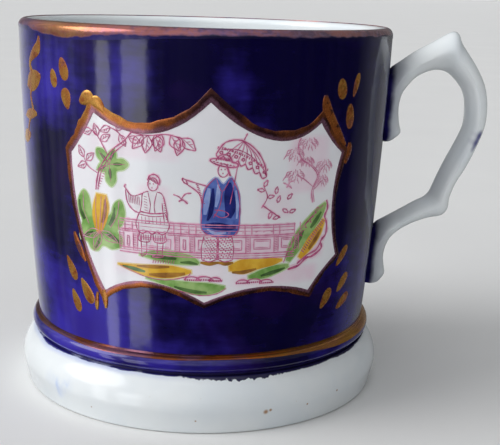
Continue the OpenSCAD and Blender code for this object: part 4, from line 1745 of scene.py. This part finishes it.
def robed_figure(pen):
    """A standing figure in a wide robe and a brimmed hat, feet at the origin."""
    pen.dab("white", (-2.9, 5.2), (-3.3, 2.4), (-3.0, 0.0), (0.0, -0.2), (3.0, 0.0), (3.2, 2.4), (2.8, 5.2))
    pen.lines(1.0, *[((x * 0.9, 5), (x * 1.06, 2.4), (x, 0)) for x in (-3.1, -0.15, 0.1, 3.0)],
              ((-3.1, 0), (-1.6, -0.4), (-0.1, 0.1), (1.4, -0.4), (3.0, 0)))
    for k in range(TROUSER_DOTS):
        x, y = -2.8 + 5.6 * ((k * 0.618) % 1), 0.2 + 4.5 * (k / TROUSER_DOTS)
        turn = k * GOLDEN_TURN
        pen.line((x, y), (x + 0.3 * math.cos(turn), y + 0.3 * math.sin(turn)), weight=1.1)
    pen.dab("blue", *ROBE, ROBE_NECK)
    pen.brush("sky", ((-2.0, 14.8, 0.3), (-2.4, 12.0, 0.6), (-2.7, 9.4, 0.3)),
              ((-0.2, 15.6, 0.2), (-0.2, 13.2, 0.45), (-0.6, 11.0, 0.2)),
              ((3.3, 14.4, 0.15), (3.7, 11.2, 0.3), (3.6, 8.6, 0.15)),
              ((-2.2, 6.4, 0.15), (-0.6, 5.6, 0.3), (1.6, 5.7, 0.15)))
    pen.brush("navy", ((1.9, 16.0, 0.4), (2.0, 13.6, 1.0), (2.3, 10.8, 1.1), (1.9, 8.8, 0.6)),
              ((-1.2, 14.8, 0.2), (-1.3, 12.4, 0.45), (-1.6, 9.8, 0.45), (-2.2, 8.2, 0.2)),
              ((-2.6, 7.2, 0.3), (-0.6, 7.1, 0.75), (1.6, 6.8, 0.7), (3.5, 6.8, 0.3)))
    pen.line(*ROBE, weight=1.0)
    pen.lines(0.8, ((-0.6, 16.8), (0.6, 14.2), (2.2, 16.9)), ((0.6, 14.2), (0.2, 11.2), (-1.0, 8.8)))
    pen.lines(0.9, ((-1.0, 9.6), (0.6, 8.8), (2.0, 9.4), (1.0, 10.2), (-0.8, 10.4)),
              ((-2.4, 15.2), (-4.6, 15.8), (-6.6, 16.4), (-7.3, 16.7)),
              ((-3.2, 10.8), (-3.9, 13.6), (-6.2, 15.4), (-7.0, 15.9), (-7.3, 16.7)),
              ((-6.6, 16.4), (-6.2, 15.5)))
    pen.ring(0.7, 18.4, 1.05, 1.35, weight=0.8)
    pen.ring(0.9, 19.9, 2.9, 0.7, weight=1.2, lean=-0.2)
    pen.ring(0.8, 20.1, 1.6, 1.5, 0, 180, weight=1.2, lean=-0.15)
    pen.hatch((-4.6, 15.6), (-3.3, 12.0), (0.6, -0.4), 8, 0.7)
    pen.hatch((-0.6, 20.5), (2.2, 20.2), (0.1, 0.7), 10, 0.8)
    pen.hatch((-1.4, 20.2), (3.2, 19.2), (0.5, -0.1), 8, 0.8)
    pen.hatch((1.2, 19.2), (1.8, 17.6), (0.5, -0.3), 6, 1.1)
    face(pen, 0.25, (0.2, 18.6), (0.9, 18.6), (0.5, 17.8))
    pen.brush("ochre",
              ((-3.4, -0.6, 0.2), (-1.6, -0.8, 0.45), (0.2, -0.6, 0.25), (1.6, -0.8, 0.45), (3.2, -0.6, 0.2)))


def small_figure(pen):
    """A smaller figure in a short coat, feet at the origin."""
    pen.dab("white", (0, 13.6), (-2.0, 12.9), (-4.4, 12.4), (-5.4, 12.8), (-5.1, 10.8), (-3.0, 9.0),
            (-3.4, 6.8), (-2.9, 3.2), (-2.2, 0.2), (-0.9, 0.4), (0.0, 3.6), (0.9, 0.4), (2.2, 0.2),
            (2.9, 3.2), (3.5, 6.8), (2.9, 9.8), (2.1, 12.8))
    pen.lines(0.9, ((-0.8, 13.4), (-2.0, 12.9), (-2.2, 11.0), (-2.5, 9.2)),
              ((0.9, 13.4), (2.1, 12.8), (2.9, 9.8), (3.2, 7.2)), ((2.0, 11.2), (2.2, 9.2), (2.5, 7.4)),
              ((-1.8, 13.0), (-4.2, 12.2), (-5.6, 13.6), (-5.9, 14.2), (-5.5, 14.4)),
              ((-5.7, 13.4), (-5.2, 10.8), (-3.8, 9.2), (-2.4, 8.9)),
              ((-2.6, 9.1), (-3.4, 6.8), (-3.0, 5.2)), ((2.6, 9.1), (3.5, 6.8), (3.0, 5.2)))
    pen.hatch((2.1, 12.2), (2.8, 8.0), (0.35, -0.2), 10)
    pen.hatch((-5.0, 12.6), (-2.8, 12.2), (0.2, -1.8), 7)
    pen.hatch((-1.8, 12.4), (-1.6, 9.6), (0.7, -0.2), 6, 0.5)
    pen.hatch((-2.2, 8.2), (2.4, 8.2), (0.1, -1.5), 7, 0.5)
    pen.lines(0.8, ((-0.9, 13.2), (-0.4, 10.8), (-0.6, 9.0)), ((0.9, 13.2), (0.4, 10.8), (0.6, 9.0)),
              ((-2.6, 8.6), (0, 8.3), (2.6, 8.6)))
    hem = [(x, 5.2 - 0.55 * (k % 2)) for k, x in enumerate(spread(-3.0, 3.0, 6))]
    pen.lines(1.3, ((-2.6, 9.2), (0, 8.9), (2.6, 9.2)), hem)
    for side in (-1, 1):
        pen.lines(1.1, ((side * 2.6, 5.0), (side * 2.8, 3.2), (side * 0.6, 3.0), (side * 0.2, 4.6)),
                  ((side * 1.1, 0.5), (side - 0.9, -0.1), (side * 2.2, 0.0), (side * 2.1, 0.5)))
        pen.hatch((side * 0.7, 4.5), (side * 2.5, 4.5), (0, -1.3), 6, 0.8)
        pen.lines(0.9, ((side * 2.3, 3.1), (side * 2.1, 0.5)), ((side * 1.1, 3.1), (side * 1.1, 0.5)))
    pen.ring(0.1, 14.9, 1.05, 1.35, weight=0.8)
    pen.line((-1.0, 15.6), (-0.6, 16.6), (0.5, 16.9), (1.4, 16.1), (1.4, 14.8), weight=1.2)
    pen.hatch((-0.6, 16.5), (1.3, 15.4), (-0.1, -0.6), 8, 0.9)
    face(pen, 0.22, (-0.6, 15.0), (0.1, 15.0), (-0.2, 14.2))


print("figures ready")

# %% [markdown]
# The ground is dabbed in below: green turf, yellow banks with ochre shadows, and a mossy boulder that
# climbs the right edge.

# %% Ground motifs
TURF_DABS = {
    "leaf": (
        ((-12.8, -11.0, 0.2), (-9.6, -10.9, 1.0), (-5.6, -11.2, 1.3), (-2.4, -11.6, 1.0), (-0.6, -12.2, 0.2)),
        ((-11.4, -15.9, 0.1), (-8.8, -16.3, 0.4), (-5.6, -16.8, 0.8), (-1.6, -17.5, 1.25),
         (1.8, -17.6, 1.15), (4.6, -17.3, 0.3)),
        ((18.2, -13.4, 0.4), (15.4, -13.9, 0.9), (12.4, -14.7, 1.0), (9.4, -15.2, 0.3)),
    ),
    "yellow": (
        ((-17.6, -13.6, 0.1), (-14.4, -14.0, 0.7), (-10.2, -14.4, 1.3), (-6.0, -14.2, 1.3),
         (-2.2, -14.0, 0.3)),
        ((5.4, -13.2, 0.5), (8.0, -12.9, 1.5), (11.4, -12.5, 1.1), (14.6, -12.2, 0.8), (16.6, -12.0, 0.2)),
    ),
    "moss": (
        ((-10.4, -11.3, 0.15), (-7.6, -11.2, 0.45), (-5.2, -11.4, 0.2)),
        ((-4.4, -12.1, 0.15), (-2.4, -12.1, 0.35), (-0.9, -12.4, 0.15)),
        ((-16.6, -13.8, 0.1), (-14.0, -14.2, 0.4), (-11.6, -14.6, 0.2)),
        ((-5.6, -17.3, 0.15), (-2.4, -18.1, 0.4), (1.0, -18.4, 0.2)),
    ),
    "ochre": (
        ((-13.4, -13.5, 0.15), (-10.0, -13.4, 0.4), (-6.6, -13.2, 0.2)),
        ((-10.8, -15.1, 0.2), (-7.4, -15.0, 0.55), (-3.4, -14.5, 0.3)),
        ((6.0, -14.1, 0.2), (8.4, -14.1, 0.4), (11.0, -13.5, 0.2)),
    ),
}
ROCK_DABS = {
    "leaf": (
        ((27.0, -0.8, 0.3), (25.2, -2.9, 1.3), (22.0, -6.2, 1.7), (19.4, -9.6, 1.5), (18.0, -12.4, 0.5)),
    ),
    "yellow": (((26.8, -4.4, 0.4), (25.2, -6.8, 1.1), (23.0, -9.4, 1.2), (20.8, -12.0, 0.5)),),
    "moss": (
        ((25.9, -2.6, 0.2), (24.4, -4.4, 0.5), (23.2, -5.8, 0.25)),
        ((21.4, -6.2, 0.25), (20.4, -7.8, 0.6), (19.4, -9.8, 0.3)),
        ((17.4, -13.8, 0.15), (14.6, -14.5, 0.4), (12.0, -15.1, 0.2)),
    ),
    "ochre": (((26.2, -6.2, 0.2), (24.8, -8.2, 0.45), (23.0, -10.4, 0.3)),),
}
# Place and half width of the pebbles
PEBBLES = (
    (-2.0, -15.7, 1.5), (0.4, -15.6, 1.6), (2.6, -15.8, 1.2), (8.2, -16.4, 1.3), (10.6, -16.3, 1.5),
    (13.2, -16.6, 1.4),
)


def turf(pen):
    for colour, strokes in TURF_DABS.items():
        pen.brush(colour, *strokes)
    pen.hatch((-10.0, -12.6), (-5.8, -12.5), (0.2, 0.8), 9)
    pen.lines(0.8, ((-17.2, -13.8), (-11.6, -15.6), (-7.4, -16.0), (-3.2, -15.1), (-2.3, -14.2)),
              ((-10.4, -16.8), (-5.2, -18.0), (-0.4, -19.0), (3.0, -18.6), (4.9, -17.4)))
    for x, y, wide in PEBBLES:
        pen.ring(x, y, wide, 0.65, 0, 200, weight=1.2)
        pen.hatch((x - wide, y), (x + wide, y), (0.3, -0.12), 8, 1.5)


def boulder(pen):
    for colour, strokes in ROCK_DABS.items():
        pen.brush(colour, *strokes)
    pen.line((27.2, -0.2), (27.6, -2.0), (26.9, -3.6), (27.6, -5.4), (27.5, -7.6), (26.2, -9.0),
             (26.4, -10.6), (24.0, -12.0), (22.4, -12.2), (20.6, -13.6), (18.0, -14.2), weight=2.1)
    pen.line((26.6, -8.2), (25.2, -10.6), (22.6, -11.6), (20.2, -13.2), weight=1.7)
    pen.line((26.4, -1.2), (23.6, -3.2), (20.2, -6.4), (18.0, -10.0), (17.0, -12.6))
    for x, y in ((24.8, -2.2), (22.4, -5.0), (20.6, -7.6), (19.2, -10.4), (23.6, -4.0), (21.4, -6.7)):
        pen.ring(x, y, 0.7, 0.5, 20, 220, weight=1.0, lean=0.8)
    pen.hatch((26.0, -4.2), (21.0, -10.2), (0.8, -0.7), 16, 0.9)


print("ground motifs ready")

# %% [markdown]
# ## Two prints
# The front and the back share the vocabulary but place the figures differently, as pairs of prints on
# such mugs do. Each print becomes one piece for the bleed, one for each ink, and one for each wash and
# each enamel. The bleed and the washes lie lowest, the enamels over them, and the ink lines stand
# highest, so that they show through the dabs.

# %% Prints
# Place of the robed figure, place of the smaller one, and the way that one faces
FIGURE_PLACES = {"front": (3.0, -10.2, 1), "back": (-4.6, 8.4, -1)}


def garden(robed_x, small_x, facing):
    sheet = Drawing()
    fence(sheet.at(0, 0, tone="pale"))
    broad_shrub(sheet.at(-21.6, -6.6, tone="pale"))
    leafy_tree(sheet.at(-22.8, 1.4))
    green_leaf(sheet.at(-19.5, 7.0))
    feathery_tree(sheet.at(23.4, 0.2, tone="pale"))
    turf(sheet)
    boulder(sheet)
    bough(sheet.at(robed_x + 8.6 if robed_x > 0 else 2.6, -0.8))
    bird(sheet.at(robed_x - 7.4, 1.0))
    bird(sheet.at(17.2, 3.6, tone="pale"), 0.7)
    parasol(sheet.at(robed_x + 2.6, 10.4))
    robed_figure(sheet.at(robed_x, -11.4))
    small_figure(sheet.at(small_x, -11.2, facing))
    return sheet


def printed(side, sheet, turn):
    soaked = inked(f"{side}_ink_bleed", sheet.ink["deep"] + sheet.ink["pale"], BLEED_W)
    settle(wrap(soaked, BLEED_LIFT, turn, BLEED_FLAT), BLEED, "print_panel")
    for tone, material in INKS.items():
        ink = inked(f"{side}_{tone}_ink", sheet.ink[tone], INK_W)
        settle(wrap(ink, INK_LIFT, turn, INK_FLAT), material, "print_panel")
    for layer, (colour, material) in enumerate(WASHES.items()):
        wash = filled(f"{side}_wash_{colour}", [washed(dab) for dab in sheet.dabs[colour]], DAB_T, STRIP)
        settle(wrap(wash, DAB_LIFT - (layer + 1) * DAB_STEP, turn), material, "print_panel")
    for layer, (colour, material) in enumerate(ENAMELS.items()):
        dabs = filled(f"{side}_print_{colour}", sheet.dabs[colour], DAB_T, STRIP)
        settle(wrap(dabs, DAB_LIFT + layer * DAB_STEP, turn), material, "print_panel")


for side, places in FIGURE_PLACES.items():
    printed(side, garden(*places), SIDES[side])

# %% [markdown]
# ## Stage
# The cup stands on a plain pale floor before a pale backdrop. Neither shows in reflections, so the
# cobalt mirrors the sky alone: a room that is bright on the left, with curtain folds. Below the horizon
# it is dark in front and pale behind and at the right, as a table's edge would be. A broad, weak sun from
# the left gives the shading. Two tall window panes show only in the gloss, as upright reflections, and
# two soft spots open up the mouth and the handle.

# %% Floor
FLOOR_SIZE = 60
FLOOR_DIM = paint(0.77, 0.77, 0.77)
FLOOR_PALE = paint(0.82, 0.82, 0.815)
BACKDROP_LEAN = math.radians(60)


def floor_finish():
    finish = Finish("pale_floor")
    cloud = finish.noise(90 * MM, 3)
    colour = finish.mix(cloud, FLOOR_DIM, FLOOR_PALE)
    normal = finish.bump(cloud, 0.1 * MM)
    return finish.surface(Base_Color=colour, Roughness=0.7, Specular_IOR_Level=0, Normal=normal)


def pale_plane(name, place, lean):
    deselect()
    bpy.ops.mesh.primitive_plane_add(size=FLOOR_SIZE, location=place, rotation=(lean, 0, 0))
    plane = just_added(name)
    plane.data.materials.append(pale)
    plane.visible_glossy = False


pale = floor_finish()
pale_plane("floor", (0, 0, 0), 0)
pale_plane("backdrop", (0, FLOOR_SIZE / 2, 0), BACKDROP_LEAN)
print("floor and backdrop", FLOOR_SIZE, "m wide")

# %% [markdown]
# A picture of a room could light the cup, but this file holds no pictures. The sky is built from fades
# and noise instead, with the same node maths as the glazes.

# %% Light
SKY_SIDE = (-0.62, -0.42, 0.66)
SKY_DIM = 0.18
SKY_BRIGHT = 0.82
SKY_TINT = paint(0.97, 0.985, 1)
SUN_LIGHT = 1.55
SUN_WIDE = math.radians(42)
# Place, width and brightness of each pane
WINDOW_PANES = ((-0.262, -0.158, 0.045, 2.6), (-0.195, -0.234, 0.075, 2.3))
PANE_H = 0.19
PANE_Z = -0.038
# Name, place, target, power and cone in degrees of the soft spots
FILLS = (
    ("mouth_fill", (-0.05, -0.20, 0.30), (0, 0.02, 0.076), 1.6, 15),
    ("handle_fill", (0.30, -0.24, 0.075), (0.058, 0, 0.052), 0.8, 13),
)
FILL_SOFT = 0.03


def sky():
    """A room that is bright on the window's side, with upright folds as of a curtain, and dim elsewhere."""
    room = Finish("studio_sky", bpy.data.worlds, "Generated")
    x, y, z = room.axes()
    glow = room.fade(room.vectors("DOT_PRODUCT", room.place, SKY_SIDE), 0, 1) * SKY_BRIGHT + SKY_DIM
    folds = room.fade(room.noise(1 / 11, 2, (1, 1, 0.06)), 0.38, 0.62) * 0.8 + 0.55
    below = room.fade(z, 0.10, -0.06)
    behind = room.fade(y, 0.5, 0.95)
    left = room.fade(x, 0.5, -0.5)
    right = room.fade(x, 0.3, 0.6) * room.fade(y, 0.15, 0.55)
    dark = below * (0.88 - room.fade(x, -0.35, -0.95) * 0.45)
    table = behind * (left * 0.65 + 0.1) + right * 0.18
    strength = glow * folds * (1 - dark) + below * table
    light = room.node("ShaderNodeBackground", None, {"Color": SKY_TINT, "Strength": strength})
    bpy.context.scene.world = room.close("ShaderNodeOutputWorld", light)


def lamp(name, kind, place, target, energy, **settings):
    """A lamp at a place that points at a target."""
    light = bpy.data.lights.new(name, kind)
    light.energy = energy
    for key, value in settings.items():
        setattr(light, key, value)
    holder = bpy.data.objects.new(name, light)
    bpy.context.collection.objects.link(holder)
    holder.location = place
    holder.rotation_euler = (Vector(target) - Vector(place)).to_track_quat("-Z", "Y").to_euler()
    holder.visible_camera = False
    return holder


sky()
lamp("soft_sun", "SUN", (-0.85, -0.2, 0.55), (0, 0, 0.04), SUN_LIGHT, angle=SUN_WIDE)
for i, (x, y, wide, bright) in enumerate(WINDOW_PANES):
    energy = bright * math.pi * wide * PANE_H
    pane = lamp(f"window_pane_{i}", "AREA", (x, y, PANE_Z), (0, 0, PANE_Z), energy,
                shape="RECTANGLE", size=wide, size_y=PANE_H)
    pane.visible_diffuse = False
for name, place, target, power, cone in FILLS:
    fill = lamp(name, "SPOT", place, target, power,
                spot_size=math.radians(cone), spot_blend=1.0, shadow_soft_size=FILL_SOFT)
    fill.visible_glossy = False
print("sky, sun,", len(FILLS), "fills and", len(WINDOW_PANES), "window panes")

# %% [markdown]
# ## Close
# The dressed cup has to stay in the CAD model's box. Colours are shown as they are, with the
# Standard view.

# %% Colour view
bpy.context.scene.view_settings.view_transform = "Standard"
deselect()
